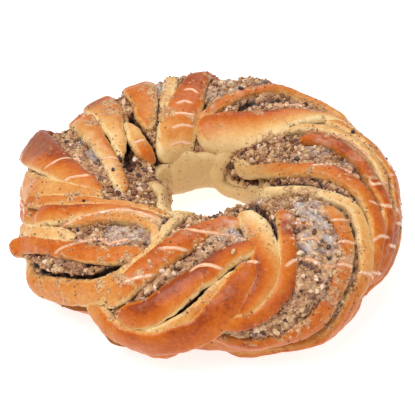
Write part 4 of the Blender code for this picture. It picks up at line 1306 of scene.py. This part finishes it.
def add_studio():
    """A pale floor, a pale world and soft lights."""
    shape = bmesh.new()
    bmesh.ops.create_grid(shape, x_segments=8, y_segments=8, size=FLOOR_HALF_SIDE)
    mesh = bpy.data.meshes.new("floor")
    shape.to_mesh(mesh)
    shape.free()
    floor = bpy.data.objects.new("floor", mesh)
    scene.collection.objects.link(floor)
    s = Shader("bright floor")
    floor.data.materials.append(s.finish(Base_Color=(0.55, 0.55, 0.55, 1), Roughness=0.9,
                                         Emission_Color=(1, 1, 1, 1), Emission_Strength=0.75))
    world = bpy.data.worlds.new("studio")
    world.use_nodes = True
    background = world.node_tree.nodes["Background"]
    background.inputs["Color"].default_value = (1, 1, 1, 1)
    background.inputs["Strength"].default_value = WORLD_STRENGTH
    scene.world = world
    add_area_light("key", (-0.36, -0.30, 1.00), 0.70, 8.2)
    add_area_light("fill", (0.7, -0.6, 0.6), 0.9, 1.5)
    add_area_light("back", (0.1, 0.8, 0.8), 0.7, 2.6)
    scene.view_settings.view_transform = "Standard"


def dress(thing, material, stands_for=None):
    """Gives a piece its material, puts it under the root body, and hides the model's part that it stands for.
    """
    thing.data.materials.append(material)
    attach(thing, "root")
    if stands_for:
        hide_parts(stands_for)


def main():
    add_camera()
    add_studio()
    dough = make_dough()
    dough_tree = surface_tree(dough)
    find_exposure(dough, dough_tree)
    filling = make_filling(dough_tree)
    filling_tree = surface_tree(filling)
    smear_filling(dough, filling_tree)
    dough_tree = surface_tree(dough)
    large_nuts = make_nut_pieces("large_nuts", filling, dough_tree, LARGE_NUTS, 2, 5)
    small_nuts = make_nut_pieces("small_nuts", filling, dough_tree, SMALL_NUTS, 1, 6)
    bread_tree = surface_tree(dough, filling, large_nuts)
    pale_nuts = make_pale_nuts(bread_tree)
    crumbs = make_crumbs(dough, filling_tree, dough_tree)
    raisins = make_raisins(bread_tree)
    glaze, middles = make_glaze(bread_tree)
    pools = find_pools(bread_tree)
    for thing in (dough, filling, large_nuts, small_nuts, pale_nuts, crumbs):
        store(thing.data, "glazed", glaze_cover(point_array(thing.data), middles, pools))
    nuts = nut_material()
    dress(dough, crust_material(), "dough")
    dress(filling, filling_material(), "filling")
    for thing in (large_nuts, small_nuts, pale_nuts, crumbs):
        dress(thing, nuts)
    dress(raisins, raisin_material())
    dress(glaze, glaze_material())


main()
